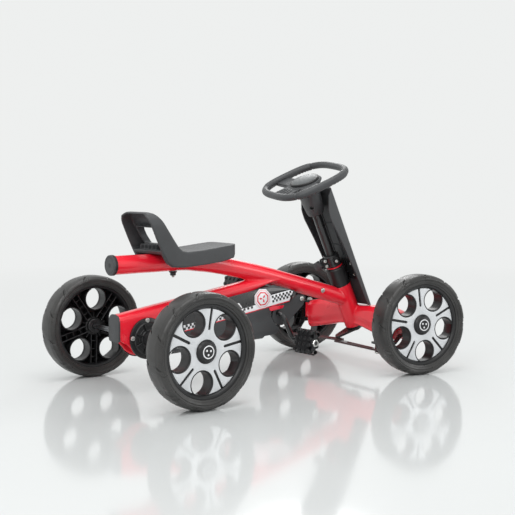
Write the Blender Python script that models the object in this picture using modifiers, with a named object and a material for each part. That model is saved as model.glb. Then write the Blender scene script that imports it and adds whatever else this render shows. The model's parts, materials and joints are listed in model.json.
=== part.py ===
"""Child's pedal go kart: steel tube frame, chain drive to the rear axle, linked front steering.

Metres, +X forward, +Y to the kart's left, +Z up.  The kart stands on z = 0 with its bounding box
centred on the origin.  It is modelled with its front wheels and steering turned a little to the right.
"""
from math import acos, atan2, cos, pi, radians, sin, sqrt, tan

import bmesh
import bpy
from mathutils import Vector

# ---------------------------------------------------------------- driving dimensions
WHEELBASE = 0.608
TRACK = 0.436                    # wheel centre to wheel centre, wheels straight
WHEEL_RADIUS = 0.114
TYRE_WIDTH = 0.054
CENTRE_SHIFT = 0.00455           # half of what the steered front wheels add to the front overhang
GAP = 0.0003                     # between pieces that touch
RUNNING_GAP = 0.0006             # between pieces that turn in one another

STEER_TURN = radians(-10.9)      # front wheels at rest, about +Z
STEERING_RATIO = 0.75            # wheel turn for one turn of the column
KINGPIN_INSET = 0.046            # wheel centre plane to kingpin
COLUMN_RAKE = radians(25.0)      # from vertical, leaning back
COLUMN_SETBACK = 0.0135          # column line behind the front axle at axle height

TUBE_RADIUS = 0.0195
TUBE_WALL = 0.0018
TUBE_REAR_X = -WHEELBASE / 2 - 0.072
TUBE_REAR_Z = 0.2675
SEAT_BOLT_X = -0.227
SEAT_TRAVEL_BACK = 0.040
SEAT_TRAVEL_FORWARD = 0.010
SEAT_NUT_RADIUS = 0.0085
SEAT_RAIL_END_X = SEAT_BOLT_X + SEAT_TRAVEL_FORWARD + SEAT_NUT_RADIUS + 0.0035

ARM_HALF_WIDTH = 0.020
ARM_WALL = 0.0025
ARM_TOP_AT_AXLE = 0.1757         # top of the arm over the rear axle
ARM_SLOPE = 0.152                # rise of the arm towards the front
ARM_REAR_X = -WHEELBASE / 2 - 0.064
ARM_FRONT_X = 0.020
HOUSING_RADIUS = 0.043
HOUSING_THICKNESS = 0.008

CRANK_X = 0.037
CRANK_Z = 0.141
CRANK_THROW = 0.070
CRANK_TURN = radians(28.0)       # right arm, forward of straight down
CRANK_ROD_RADIUS = 0.0055
CRANK_ARM_Y = 0.0415
PEDAL_Y = 0.090
PEDAL_WIDTH = 0.058
PEDAL_LENGTH = 0.060
PEDAL_THICKNESS = 0.030
SPROCKET_FRONT_TEETH = 22
SPROCKET_REAR_TEETH = 12
CHAIN_PITCH = 0.0103
CHAIN_WIDTH = 0.007
CHAIN_THICKNESS = 0.006
CHAIN_CLEAR = 0.0026              # inside of the chain outside the sprockets' pitch circles
SPROCKET_THICKNESS = 0.0025

GUARD_HALF_WIDTH = 0.034
GUARD_WALL = 0.002
BRACKET_HALF_WIDTH = 0.0285
BRACKET_PLATE = 0.004
BRACKET_STRUT_WIDTH = 0.042
BRACKET_LUG_X = 0.106
BRACKET_LUG_Z = 0.168

COLUMN_RADIUS = 0.011
COLUMN_WALL = 0.0025
HEAD_TUBE_RADIUS = 0.023
HEAD_TUBE_TOP = 0.085            # along the column line from axle height
HEAD_TUBE_BOTTOM = -0.026
SLEEVE_TOP = 0.133
CLAMP_TOP = 0.166
STEERING_WHEEL_REACH = 0.359
STEERING_RIM_SIDE = 0.0965       # rim centreline, sideways
STEERING_RIM_FRONT = 0.084       # rim centreline, fore and aft
STEERING_RIM_RADIUS = 0.0095
BOSS_LOW = 0.2725                # underside of the steering wheel boss
BOSS_NECK_RADIUS = 0.0258        # turns inside the front shield
BOSS_SPREAD = 1.30               # the boss is wider than it is deep above the shield
PITMAN_LENGTH = 0.050
PITMAN_HEIGHT = -0.036

SHIELD_HALF_WIDTH = 0.050
SHIELD_FRONT = 0.031
SHIELD_WALL = 0.004
SHIELD_TOP = 0.3277

BEAM_HALF_DEPTH = 0.028
BEAM_END_Y = 0.157
BEAM_TOP = 0.139
BEAM_WALL = 0.0028
KNUCKLE_ARM = 0.066
KNUCKLE_ARM_IN = 0.022
KNUCKLE_ARM_BEND = 0.026           # the steering arm runs straight back past the beam's end, then inwards
KNUCKLE_ARM_Z = 0.0630            # underside of the steering arm's end
TIE_ROD_TOP = 0.0560              # the left rod lies on the right one
TIE_ROD_THICKNESS = 0.0042
ROD_EYE_RADIUS = 0.0080           # loose over the pitman pin, which moves along an arc
PITMAN_PIN_RADIUS = 0.0031
STUB_RADIUS = 0.005
REAR_AXLE_RADIUS = 0.006

SEAT_HALF_WIDTH = 0.060
SEAT_WALL = 0.004
SEAT_CORNER_RADIUS = 0.026
SEAT_RAIL_CLEAR = 0.0012           # seat moulding off the tube it slides along

RIM_OUTER = 0.0923
COVER_RADIUS = 0.083
COVER_THICKNESS = 0.003
SPOKES = 5
HOLE_RADIUS = 0.0265
HOLE_CENTRE = 0.062
WHEEL_SEGMENTS = 28
SPOKE_PHASE = {"front_right": radians(25.0), "rear_right": radians(8.5),
               "front_left": radians(40.0), "rear_left": radians(20.0)}

FRONT_X = WHEELBASE / 2
REAR_X = -WHEELBASE / 2
AXLE_Z = 0.114                    # in the kart's frame, which stands higher on larger wheels
WHEEL_Y = TRACK / 2
KINGPIN_Y = WHEEL_Y - KINGPIN_INSET
COLUMN_X = FRONT_X - COLUMN_SETBACK


# ---------------------------------------------------------------- scene and helpers
def clear_scene():
    for obj in list(bpy.data.objects):
        bpy.data.objects.remove(obj, do_unlink=True)


def new_collection(name):
    collection = bpy.data.collections.new(name)
    bpy.context.scene.collection.children.link(collection)
    return collection


clear_scene()
PARTS = new_collection("pedal_go_kart")
CUTTERS = new_collection("cutters")


def paint(name, colour, roughness, metallic=0.0):
    material = bpy.data.materials.new(name)
    material.use_nodes = True
    shader = material.node_tree.nodes["Principled BSDF"]
    shader.inputs["Base Color"].default_value = (*colour, 1.0)
    shader.inputs["Roughness"].default_value = roughness
    shader.inputs["Metallic"].default_value = metallic
    return material


RED = paint("red_paint", (0.80, 0.010, 0.025), 0.25)
PLASTIC = paint("grey_plastic", (0.055, 0.057, 0.060), 0.55)
BLACK = paint("black_plastic", (0.012, 0.012, 0.013), 0.45)
RUBBER = paint("tyre_plastic", (0.045, 0.045, 0.046), 0.60)
SILVER = paint("silver_cover", (0.70, 0.71, 0.73), 0.35)
STEEL = paint("zinc_steel", (0.55, 0.56, 0.58), 0.35, 1.0)
DARK_STEEL = paint("black_steel", (0.020, 0.018, 0.018), 0.40, 0.6)
MAROON = paint("tie_rod_paint", (0.060, 0.010, 0.012), 0.40, 0.3)
PAD = paint("pad_grey", (0.23, 0.24, 0.25), 0.50)
STICKER = paint("sticker_white", (0.85, 0.85, 0.87), 0.35)


def empty(name, parent=None, location=(0, 0, 0), rotation=(0, 0, 0)):
    obj = bpy.data.objects.new(name, None)
    PARTS.objects.link(obj)
    obj.parent = parent
    obj.location = location
    obj.rotation_euler = rotation
    return obj


def add_part(name, mesh, material, parent, location=(0, 0, 0), rotation=(0, 0, 0)):
    obj = bpy.data.objects.new(name, mesh)
    PARTS.objects.link(obj)
    obj.parent = parent
    obj.location = location
    obj.rotation_euler = rotation
    mesh.materials.clear()
    mesh.materials.append(material)
    return obj


def bake(obj, collection=None):
    """Turn an object and its modifiers into a plain mesh and drop the object."""
    bpy.context.view_layer.update()
    evaluated = obj.evaluated_get(bpy.context.evaluated_depsgraph_get())
    mesh = bpy.data.meshes.new_from_object(evaluated)
    bm = bmesh.new()
    bm.from_mesh(mesh)
    bmesh.ops.remove_doubles(bm, verts=bm.verts, dist=0.00001)
    bmesh.ops.recalc_face_normals(bm, faces=bm.faces)
    bm.to_mesh(mesh)
    bm.free()
    bpy.data.objects.remove(obj, do_unlink=True)
    return mesh


def box_mesh(low, high, bevel=0.0, segments=1):
    """Box between two corners, its edges rounded by bevel."""
    bm = bmesh.new()
    bmesh.ops.create_cube(bm, size=1.0)
    size = [high[i] - low[i] for i in range(3)]
    middle = [(high[i] + low[i]) / 2 for i in range(3)]
    bmesh.ops.scale(bm, vec=size, verts=bm.verts)
    bmesh.ops.translate(bm, vec=middle, verts=bm.verts)
    if bevel:
        bmesh.ops.bevel(bm, geom=list(bm.edges), offset=bevel, segments=segments, affect='EDGES')
    mesh = bpy.data.meshes.new("box")
    bm.to_mesh(mesh)
    bm.free()
    return mesh


def cylinder_mesh(radius, low, high, segments=16, axis="Z", centre=(0, 0)):
    """Cylinder along an axis, from low to high on it, centred on the other two."""
    bm = bmesh.new()
    bmesh.ops.create_cone(bm, cap_ends=True, segments=segments, radius1=radius, radius2=radius,
                          depth=high - low)
    bmesh.ops.translate(bm, vec=(0, 0, (low + high) / 2), verts=bm.verts)
    for vert in bm.verts:
        x, y, z = vert.co
        if axis == "X":
            vert.co = (z, x + centre[0], y + centre[1])
        elif axis == "Y":
            vert.co = (x + centre[0], z, -y + centre[1])
        else:
            vert.co = (x + centre[0], y + centre[1], z)
    bmesh.ops.recalc_face_normals(bm, faces=bm.faces)
    mesh = bpy.data.meshes.new("cylinder")
    bm.to_mesh(mesh)
    bm.free()
    return mesh


def plate_mesh(outlines, low, high, axis="Y", bevel=0.0, bevel_segments=1):
    """Flat outlines, the first outside and the rest holes, made into a plate from low to high.

    Points are (x, z) for a plate across Y, (y, z) across X and (x, y) across Z.
    """
    curve = bpy.data.curves.new("outline", 'CURVE')
    curve.dimensions = '2D'
    curve.fill_mode = 'BOTH'
    curve.extrude = (high - low) / 2
    for outline in outlines:
        spline = curve.splines.new('POLY')
        spline.points.add(len(outline) - 1)
        for point, (a, b) in zip(spline.points, outline):
            point.co = (a, b, 0, 1)
        spline.use_cyclic_u = True
    obj = bpy.data.objects.new("outline", curve)
    CUTTERS.objects.link(obj)
    mesh = bake(obj)
    bpy.data.curves.remove(curve)
    middle = (low + high) / 2
    for vert in mesh.vertices:
        a, b, c = vert.co
        if axis == "Y":
            vert.co = (a, middle - c, b)
        elif axis == "X":
            vert.co = (middle + c, a, b)
        else:
            vert.co = (a, b, middle + c)
    bm = bmesh.new()
    bm.from_mesh(mesh)
    if bevel:
        sharp = [e for e in bm.edges if len(e.link_faces) == 2 and e.calc_face_angle() > radians(50)]
        bmesh.ops.bevel(bm, geom=sharp, offset=bevel, segments=bevel_segments, affect='EDGES')
    bmesh.ops.recalc_face_normals(bm, faces=bm.faces)
    bm.to_mesh(mesh)
    bm.free()
    return mesh


def turned_mesh(profile, segments, closed=False):
    """Profile of (radius, height), top to bottom on its outer side, turned about Z."""
    mesh = bpy.data.meshes.new("profile")
    count = len(profile)
    edges = [(i, i + 1) for i in range(count - 1)]
    if closed:
        edges.append((count - 1, 0))
    mesh.from_pydata([(r, 0, h) for r, h in profile], edges, [])
    obj = bpy.data.objects.new("profile", mesh)
    CUTTERS.objects.link(obj)
    screw = obj.modifiers.new("turn", 'SCREW')
    screw.steps = segments
    screw.render_steps = segments
    screw.use_merge_vertices = True
    screw.merge_threshold = 0.00001
    result = bake(obj)
    return result


def tube_mesh(points, radius, sides=4, cyclic=False):
    """Round bar through points, with filled ends."""
    curve = bpy.data.curves.new("bar", 'CURVE')
    curve.dimensions = '3D'
    curve.bevel_depth = radius
    curve.bevel_resolution = sides
    curve.use_fill_caps = True
    curve.twist_mode = 'MINIMUM'
    spline = curve.splines.new('POLY')
    spline.points.add(len(points) - 1)
    for point, place in zip(spline.points, points):
        point.co = (*place, 1)
    spline.use_cyclic_u = cyclic
    obj = bpy.data.objects.new("bar", curve)
    CUTTERS.objects.link(obj)
    mesh = bake(obj)
    bpy.data.curves.remove(curve)
    return mesh


def combine(base, others, operation='DIFFERENCE'):
    """Boolean of a mesh with a list of meshes, as a plain mesh."""
    obj = bpy.data.objects.new("base", base)
    CUTTERS.objects.link(obj)
    tools = []
    for other in others:
        tool = bpy.data.objects.new("tool", other)
        tool.hide_render = True
        tool.display_type = 'WIRE'
        CUTTERS.objects.link(tool)
        tools.append(tool)
        step = obj.modifiers.new("step", 'BOOLEAN')
        step.operation = operation
        step.object = tool
    result = bake(obj)
    for tool in tools:
        bpy.data.objects.remove(tool, do_unlink=True)
    return result


def smooth_points(points, steps):
    """Points on a Catmull-Rom curve through points."""
    padded = [2 * points[0] - points[1], *points, 2 * points[-1] - points[-2]]
    out = []
    for i in range(1, len(padded) - 2):
        a, b, c, d = padded[i - 1:i + 3]
        for k in range(steps):
            t = k / steps
            out.append(0.5 * (2 * b + (c - a) * t + (2 * a - 5 * b + 4 * c - d) * t ** 2
                              + (3 * b - a - 3 * c + d) * t ** 3))
    out.append(points[-1])
    return out


def arc(centre, radius, start, end, count):
    """Points of an arc, angles in degrees."""
    return [(centre[0] + radius * cos(radians(start + (end - start) * k / (count - 1))),
             centre[1] + radius * sin(radians(start + (end - start) * k / (count - 1))))
            for k in range(count)]


def circle(centre, radius, count):
    return [(centre[0] + radius * cos(2 * pi * k / count),
             centre[1] + radius * sin(2 * pi * k / count)) for k in range(count)]


def shade(obj, angle=35.0):
    obj.data.shade_smooth()
    obj.data.set_sharp_from_angle(angle=radians(angle))
    return obj


# ---------------------------------------------------------------- reference frames
KART = empty("kart", location=(-CENTRE_SHIFT, 0, WHEEL_RADIUS - AXLE_Z))
COLUMN_LINE = empty("column_line", KART, (COLUMN_X, 0, AXLE_Z), (0, -COLUMN_RAKE, 0))
STEERING = empty("steering_turn", COLUMN_LINE, rotation=(0, 0, STEER_TURN / STEERING_RATIO))
KNUCKLES = {side: empty("kingpin_line_" + side, KART, (FRONT_X, sign * KINGPIN_Y, 0),
                        (0, 0, STEER_TURN))
            for side, sign in (("right", -1), ("left", 1))}


# ---------------------------------------------------------------- frame
def arm_top(x):
    return ARM_TOP_AT_AXLE + ARM_SLOPE * (x - REAR_X)


def tube_centreline():
    """Seat rail at the rear, then a gentle bend down to the head tube."""
    knots = [(SEAT_RAIL_END_X, TUBE_REAR_Z), (-0.165, TUBE_REAR_Z - 0.004), (-0.12, TUBE_REAR_Z - 0.0105),
             (-0.055, TUBE_REAR_Z - 0.024), (0.0, TUBE_REAR_Z - 0.037), (0.07, TUBE_REAR_Z - 0.0555)]
    end_x = COLUMN_X - 0.020
    end_z = TUBE_REAR_Z - 0.0555 - (end_x - 0.07) * tan(radians(15.7))
    knots.append((end_x, end_z))
    curve = smooth_points([Vector((x, 0, z)) for x, z in knots], 2)
    return [Vector((TUBE_REAR_X, 0, TUBE_REAR_Z))] + curve


def tube_underside(x):
    """Height of the main tube's underside, from its centreline's straight stretches."""
    line = tube_centreline()
    for a, b in zip(line, line[1:]):
        if a.x <= x <= b.x:
            middle = a.z + (b.z - a.z) * (x - a.x) / (b.x - a.x)
            return middle - TUBE_RADIUS
    return line[-1].z - TUBE_RADIUS


def head_frame_cylinder(radius, low, high, segments=24):
    """Cylinder on the column line, in the kart's frame."""
    mesh = cylinder_mesh(radius, low, high, segments)
    turn = COLUMN_LINE.rotation_euler.to_matrix()
    for vert in mesh.vertices:
        vert.co = turn @ vert.co + Vector((COLUMN_X, 0, AXLE_Z))
    return mesh


def build_main_tube():
    mesh = tube_mesh(tube_centreline(), TUBE_RADIUS, sides=6)
    slot_half = 0.005
    slot = box_mesh((SEAT_BOLT_X - SEAT_TRAVEL_BACK - slot_half, -slot_half, TUBE_REAR_Z - 0.03),
                    (SEAT_BOLT_X + SEAT_TRAVEL_FORWARD + slot_half, slot_half, TUBE_REAR_Z + 0.03))
    joint = head_frame_cylinder(HEAD_TUBE_RADIUS + GAP * 2, -0.03, HEAD_TUBE_TOP + 0.02)
    line = tube_centreline()
    inside = tube_mesh([line[0] - Vector((0.01, 0, 0))] + line, TUBE_RADIUS - TUBE_WALL, sides=4)
    shade(add_part("main_tube", combine(mesh, [inside, slot, joint]), RED, KART))


def build_tube_end_cap():
    radius = TUBE_RADIUS + 0.0015
    profile = [(0, 0.004), (radius - 0.001, 0.004), (radius, 0.003), (radius, 0), (0, 0)]
    mesh = turned_mesh(profile, 24)
    hole = cylinder_mesh(0.003, 0.002, 0.006, 12)
    shade(add_part("tube_end_cap", combine(mesh, [hole]), PLASTIC, KART,
                   (TUBE_REAR_X - GAP, 0, TUBE_REAR_Z), (0, -pi / 2, 0)))


def build_rear_arm():
    """Inverted steel channel with a round top: the chain runs inside it."""
    bottom_front = tube_underside(ARM_FRONT_X)
    axle = (REAR_X, AXLE_Z)
    outer = [(ARM_FRONT_X, arm_top(ARM_FRONT_X)), (ARM_REAR_X, arm_top(ARM_REAR_X)),
             (ARM_REAR_X, AXLE_Z - 0.001)]
    outer += arc(axle, HOUSING_RADIUS - 0.001, 205, 300, 6)
    outer += [(REAR_X + 0.060, AXLE_Z + 0.010), (-0.16, arm_top(-0.16) - 0.040),
              (-0.09, arm_top(-0.09) - 0.032), (ARM_FRONT_X, bottom_front)]
    body = plate_mesh([outer], -ARM_HALF_WIDTH, ARM_HALF_WIDTH)
    rounding = []
    for sign in (-1, 1):
        rounding.append(arm_corner_cutter(sign))
    body = combine(body, rounding)
    inner_half = ARM_HALF_WIDTH - ARM_WALL
    inside = [(ARM_FRONT_X + 0.01, arm_top(ARM_FRONT_X + 0.01) - 0.0045),
              (ARM_REAR_X - 0.01, arm_top(ARM_REAR_X - 0.01) - 0.0045),
              (ARM_REAR_X - 0.01, 0.05), (ARM_FRONT_X + 0.01, 0.05)]
    hollow = plate_mesh([inside], -inner_half, inner_half)
    hollow = combine(hollow, [arm_corner_cutter(sign, ARM_WALL, 0.0045) for sign in (-1, 1)])
    bore = cylinder_mesh(REAR_AXLE_RADIUS + 0.0014, -0.03, 0.03, 16, "Y", axle)
    rail = tube_mesh(tube_centreline(), TUBE_RADIUS + 2 * GAP, sides=6)
    mesh = combine(body, [hollow, bore, rail])
    shade(add_part("rear_arm", mesh, RED, KART), 30)


def arm_corner_cutter(sign, inset=0.0, drop=0.0):
    """What is cut away to round one top edge of the arm, along its whole length."""
    radius = 0.016 - inset
    half = ARM_HALF_WIDTH - inset
    start_x = ARM_REAR_X - 0.03
    end_x = ARM_FRONT_X + 0.03
    count = 5
    section = [(half - radius + radius * sin(pi / 2 * k / (count - 1)),
                -radius + radius * cos(pi / 2 * k / (count - 1))) for k in range(count)]
    section.append((half + 0.01, -radius))
    section.append((half + 0.01, 0.01))
    section.append((half - radius, 0.01))
    bm = bmesh.new()
    rows = []
    for x in (start_x, end_x):
        top = arm_top(x) - drop
        rows.append([bm.verts.new((x, sign * y, top + z)) for y, z in section])
    size = len(section)
    for k in range(size):
        bm.faces.new((rows[0][k], rows[0][(k + 1) % size], rows[1][(k + 1) % size], rows[1][k]))
    bm.faces.new(rows[0])
    bm.faces.new(rows[1])
    bmesh.ops.recalc_face_normals(bm, faces=bm.faces)
    mesh = bpy.data.meshes.new("corner")
    bm.to_mesh(mesh)
    bm.free()
    return mesh


def build_arm_end_cover():
    top = arm_top(ARM_REAR_X) + 0.001
    bottom = AXLE_Z - 0.004
    half = ARM_HALF_WIDTH + 0.001
    outline = [(-half, bottom + 0.006), (-half + 0.006, bottom), (half - 0.006, bottom),
               (half, bottom + 0.006)]
    outline += arc((half - 0.016, top - 0.016), 0.016, 0, 90, 5)
    outline += arc((-half + 0.016, top - 0.016), 0.016, 90, 180, 5)
    mesh = plate_mesh([outline], ARM_REAR_X - GAP - 0.004, ARM_REAR_X - GAP, "X", 0.001)
    add_part("arm_end_cover", mesh, PLASTIC, KART)


def build_bearing_housings():
    for side, sign in (("right", -1), ("left", 1)):
        bore = REAR_AXLE_RADIUS + RUNNING_GAP
        top = HOUSING_THICKNESS
        profile = [(bore, top + 0.010), (0.014, top + 0.010), (0.016, top + 0.008), (0.018, top),
                   (0.034, top), (HOUSING_RADIUS, top - 0.003), (HOUSING_RADIUS, 0), (bore, 0)]
        mesh = turned_mesh(profile, 20, closed=True)
        shade(add_part("bearing_housing_" + side, mesh, BLACK, KART,
                       (REAR_X, sign * (ARM_HALF_WIDTH + GAP), AXLE_Z), (-sign * pi / 2, 0, 0)))


def build_head_tube():
    profile = [(0.0160, HEAD_TUBE_TOP), (HEAD_TUBE_RADIUS, HEAD_TUBE_TOP),
               (HEAD_TUBE_RADIUS, HEAD_TUBE_BOTTOM), (0.0160, HEAD_TUBE_BOTTOM)]
    mesh = turned_mesh(profile, 24, closed=True)
    shade(add_part("head_tube", mesh, RED, COLUMN_LINE))


def beam_outline():
    """Front view of the beam: tall ends and a waist, as (y, z)."""
    half = [(0.0, BEAM_TOP), (0.06, BEAM_TOP + 0.0005), (0.12, BEAM_TOP - 0.0015),
            (BEAM_END_Y - 0.012, BEAM_TOP - 0.006), (BEAM_END_Y, AXLE_Z - 0.006),
            (BEAM_END_Y - 0.008, 0.067), (0.12, 0.075), (0.08, 0.082), (0.04, 0.088), (0.0, 0.091)]
    return [(-y, z) for y, z in half[1:-1]][::-1] + half[:1] + half[1:-1] + half[-1:]


def build_front_beam():
    ordered = beam_outline()
    mesh = plate_mesh([ordered], FRONT_X - BEAM_HALF_DEPTH, FRONT_X + BEAM_HALF_DEPTH, "X", 0.004, 2)
    extras = []
    for sign in (-1, 1):
        eye = cylinder_mesh(0.011, 0.088, 0.128, 16, "Z", (FRONT_X, sign * KINGPIN_Y))
        low = min(sign * (BEAM_END_Y - 0.02), sign * KINGPIN_Y)
        high = max(sign * (BEAM_END_Y - 0.02), sign * KINGPIN_Y)
        neck = box_mesh((FRONT_X - 0.010, low, 0.0902), (FRONT_X + 0.010, high, 0.1262))
        extras += [eye, neck]
    mesh = combine(mesh, extras, 'UNION')
    inner_depth = BEAM_HALF_DEPTH - BEAM_WALL
    inner_end = BEAM_END_Y - 0.016
    hollow = [(-inner_end, 0.05), (-inner_end, BEAM_TOP - 0.010), (-0.10, BEAM_TOP - BEAM_WALL - 0.002),
              (0.10, BEAM_TOP - BEAM_WALL - 0.002), (inner_end, BEAM_TOP - 0.010), (inner_end, 0.05)]
    cuts = [plate_mesh([hollow], FRONT_X - inner_depth, FRONT_X + inner_depth, "X")]
    cuts.append(head_frame_cylinder(HEAD_TUBE_RADIUS + 2 * GAP, -0.08, 0.2))
    for sign in (-1, 1):
        cuts.append(cylinder_mesh(0.0046, 0.05, 0.16, 12, "Z", (FRONT_X, sign * KINGPIN_Y)))
    shade(add_part("front_beam", combine(mesh, cuts), RED, KART), 30)


def build_column_bushes():
    bore = COLUMN_RADIUS + RUNNING_GAP
    low = HEAD_TUBE_TOP + GAP
    top = [(bore, SLEEVE_TOP), (0.021, SLEEVE_TOP), (0.023, SLEEVE_TOP - 0.002),
           (0.0225, low), (bore, low)]
    shade(add_part("column_sleeve", turned_mesh(top, 24, closed=True), BLACK, COLUMN_LINE))
    high = HEAD_TUBE_BOTTOM - GAP
    flange = [(bore, high + 0.020), (0.0155, high + 0.020), (0.0155, high), (0.0200, high),
              (0.0200, high - 0.004), (bore, high - 0.004)]
    shade(add_part("lower_bush", turned_mesh(flange, 24, closed=True), BLACK, COLUMN_LINE))


def build_front_shield():
    """Channel in front of the column, open to the rear; its foot is level on the beam."""
    front = SHIELD_FRONT
    web = front - SHIELD_WALL
    slope = tan(COLUMN_RAKE)
    foot = (BEAM_TOP + 0.0015 - AXLE_Z) / cos(COLUMN_RAKE)
    side = [(0.0, foot), (front, foot - front * slope), (front, SHIELD_TOP), (0.0, SHIELD_TOP - 0.024)]
    body = plate_mesh([side], -SHIELD_HALF_WIDTH, SHIELD_HALF_WIDTH, "Y", 0.003, 1)
    inner = SHIELD_HALF_WIDTH - SHIELD_WALL
    hollow = box_mesh((-0.02, -inner, -0.05), (web, inner, 0.4))
    add_part("front_shield", combine(body, [hollow]), PLASTIC, COLUMN_LINE)
    front_face = web - GAP
    plate = box_mesh((HEAD_TUBE_RADIUS + 2 * GAP, -0.042, 0.088), (front_face, 0.042, 0.142), 0.0008)
    add_part("shield_bracket", plate, BLACK, COLUMN_LINE)


def guard_outline():
    """Side view of the chain guard, as (x, z)."""
    rear_x = REAR_X + 0.058
    top = [(x, arm_top(x) - 0.021) for x in (rear_x, -0.10, -0.03)]
    front = [(0.019, 0.204), (0.080, 0.187), (0.070, 0.163), (0.022, 0.155)]
    boss = arc((CRANK_X, CRANK_Z), 0.024, 135, 215, 5)
    foot = [(0.031, 0.100), (0.010, 0.092), (-0.036, 0.090), (-0.10, 0.088), (rear_x, 0.082)]
    return top + front + boss + foot


def build_chain_guards():
    """Two trays, open towards each other, outside the arm and the crank bracket."""
    for side, sign in (("right", -1), ("left", 1)):
        outer = sign * GUARD_HALF_WIDTH
        skin = sign * (GUARD_HALF_WIDTH - GUARD_WALL)
        low, high = sorted((outer, skin))
        mesh = plate_mesh([guard_outline()], low, high, "Y", 0.0006)
        floor_low, floor_high = sorted((outer - sign * 0.001, sign * 0.0015))
        floor = plate_mesh([[(REAR_X + 0.058, 0.0815), (-0.10, 0.0875), (-0.036, 0.0895),
                             (0.010, 0.0915), (0.010, 0.0935), (-0.036, 0.0915),
                             (-0.10, 0.0895), (REAR_X + 0.058, 0.0835)]], floor_low, floor_high)
        mesh = combine(mesh, [floor], 'UNION')
        add_part("chain_guard_" + side, mesh, PLASTIC, KART)


def build_sticker():
    rear = -0.222
    slope = 0.152
    low_front = 0.165
    outline = [(0.078, 0.1845), (0.066, low_front), (rear, low_front + slope * (rear - 0.066)),
               (rear, low_front + slope * (rear - 0.066) + 0.030), (0.066, 0.1895)]
    face = -GUARD_HALF_WIDTH - GAP
    mesh = plate_mesh([outline], face - 0.0006, face)
    add_part("sticker_right", mesh, STICKER, KART)


def build_crank_bracket():
    """Steel yoke bolted under the main tube that carries the crank in the lower end of two struts."""
    crank = (CRANK_X, CRANK_Z)
    lean = atan2(BRACKET_LUG_Z - CRANK_Z, BRACKET_LUG_X - CRANK_X)
    forward = Vector((cos(lean), sin(lean)))
    across = Vector((sin(lean), -cos(lean)))
    foot = Vector(crank) + across * (BRACKET_STRUT_WIDTH / 2 - 0.010)
    head = Vector((BRACKET_LUG_X, BRACKET_LUG_Z)) - forward * 0.006
    half = across * BRACKET_STRUT_WIDTH / 2
    outline = [head - half * 0.62, head + forward * 0.016 - half * 0.25, head + forward * 0.018 + half * 0.10,
               head + forward * 0.006 + half * 0.75, foot + forward * 0.020 + half, foot + half,
               foot - forward * 0.016 + half * 0.45, foot - forward * 0.020 - half * 0.35,
               foot - forward * 0.010 - half, foot + forward * 0.018 - half * 1.02]
    plates = []
    for sign in (-1, 1):
        low, high = sorted((sign * BRACKET_HALF_WIDTH, sign * (BRACKET_HALF_WIDTH - BRACKET_PLATE)))
        plates.append(plate_mesh([outline], low, high))
    bridge = box_mesh((BRACKET_LUG_X - 0.008, -BRACKET_HALF_WIDTH + 0.001, BRACKET_LUG_Z - 0.0035),
                      (BRACKET_LUG_X + 0.010, BRACKET_HALF_WIDTH - 0.001, BRACKET_LUG_Z + 0.0005))
    mesh = combine(plates[0], [plates[1], bridge], 'UNION')
    bore = cylinder_mesh(CRANK_ROD_RADIUS + RUNNING_GAP, -0.05, 0.05, 16, "Y", crank)
    add_part("crank_bracket", combine(mesh, [bore]), BLACK, KART)


def bolt_mesh(head_radius=0.0055, head_height=0.0035):
    profile = [(0, head_height), (head_radius * 0.6, head_height * 0.85),
               (head_radius, head_height * 0.35), (head_radius, 0), (0, 0)]
    return turned_mesh(profile, 12)


def build_frame_bolts():
    shade(add_part("frame_bolt", bolt_mesh(), STEEL, KART,
                   (0.179, -TUBE_RADIUS - GAP, 0.1815), (pi / 2, 0, 0)))
    shade(add_part("bracket_bolt", bolt_mesh(), STEEL, KART,
                   (BRACKET_LUG_X, -BRACKET_HALF_WIDTH - GAP, BRACKET_LUG_Z), (pi / 2, 0, 0)))


# ---------------------------------------------------------------- drive
def sprocket_radius(teeth):
    return CHAIN_PITCH / (2 * sin(pi / teeth))


def sprocket_mesh(teeth, bore):
    tip = sprocket_radius(teeth) + 0.0010
    root = tip - 0.0030
    outline = []
    for k in range(teeth):
        outline.append((root * cos(2 * pi * k / teeth), root * sin(2 * pi * k / teeth)))
        outline.append((tip * cos(2 * pi * (k + 0.5) / teeth), tip * sin(2 * pi * (k + 0.5) / teeth)))
    return plate_mesh([outline, circle((0, 0), bore, 12)],
                      -SPROCKET_THICKNESS / 2, SPROCKET_THICKNESS / 2)


def belt_outline(extra):
    """Loop around both sprockets, as (x, z), extra outside the pitch circles."""
    big = sprocket_radius(SPROCKET_FRONT_TEETH) + extra
    small = sprocket_radius(SPROCKET_REAR_TEETH) + extra
    run = sqrt((CRANK_X - REAR_X) ** 2 + (CRANK_Z - AXLE_Z) ** 2)
    tilt = atan2(CRANK_Z - AXLE_Z, CRANK_X - REAR_X) * 180 / pi
    lean = acos((big - small) / run) * 180 / pi
    front = arc((CRANK_X, CRANK_Z), big, tilt - lean, tilt + lean, 13)
    rear = arc((REAR_X, AXLE_Z), small, tilt + lean, tilt + 360 - lean, 9)
    return front + rear


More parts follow.
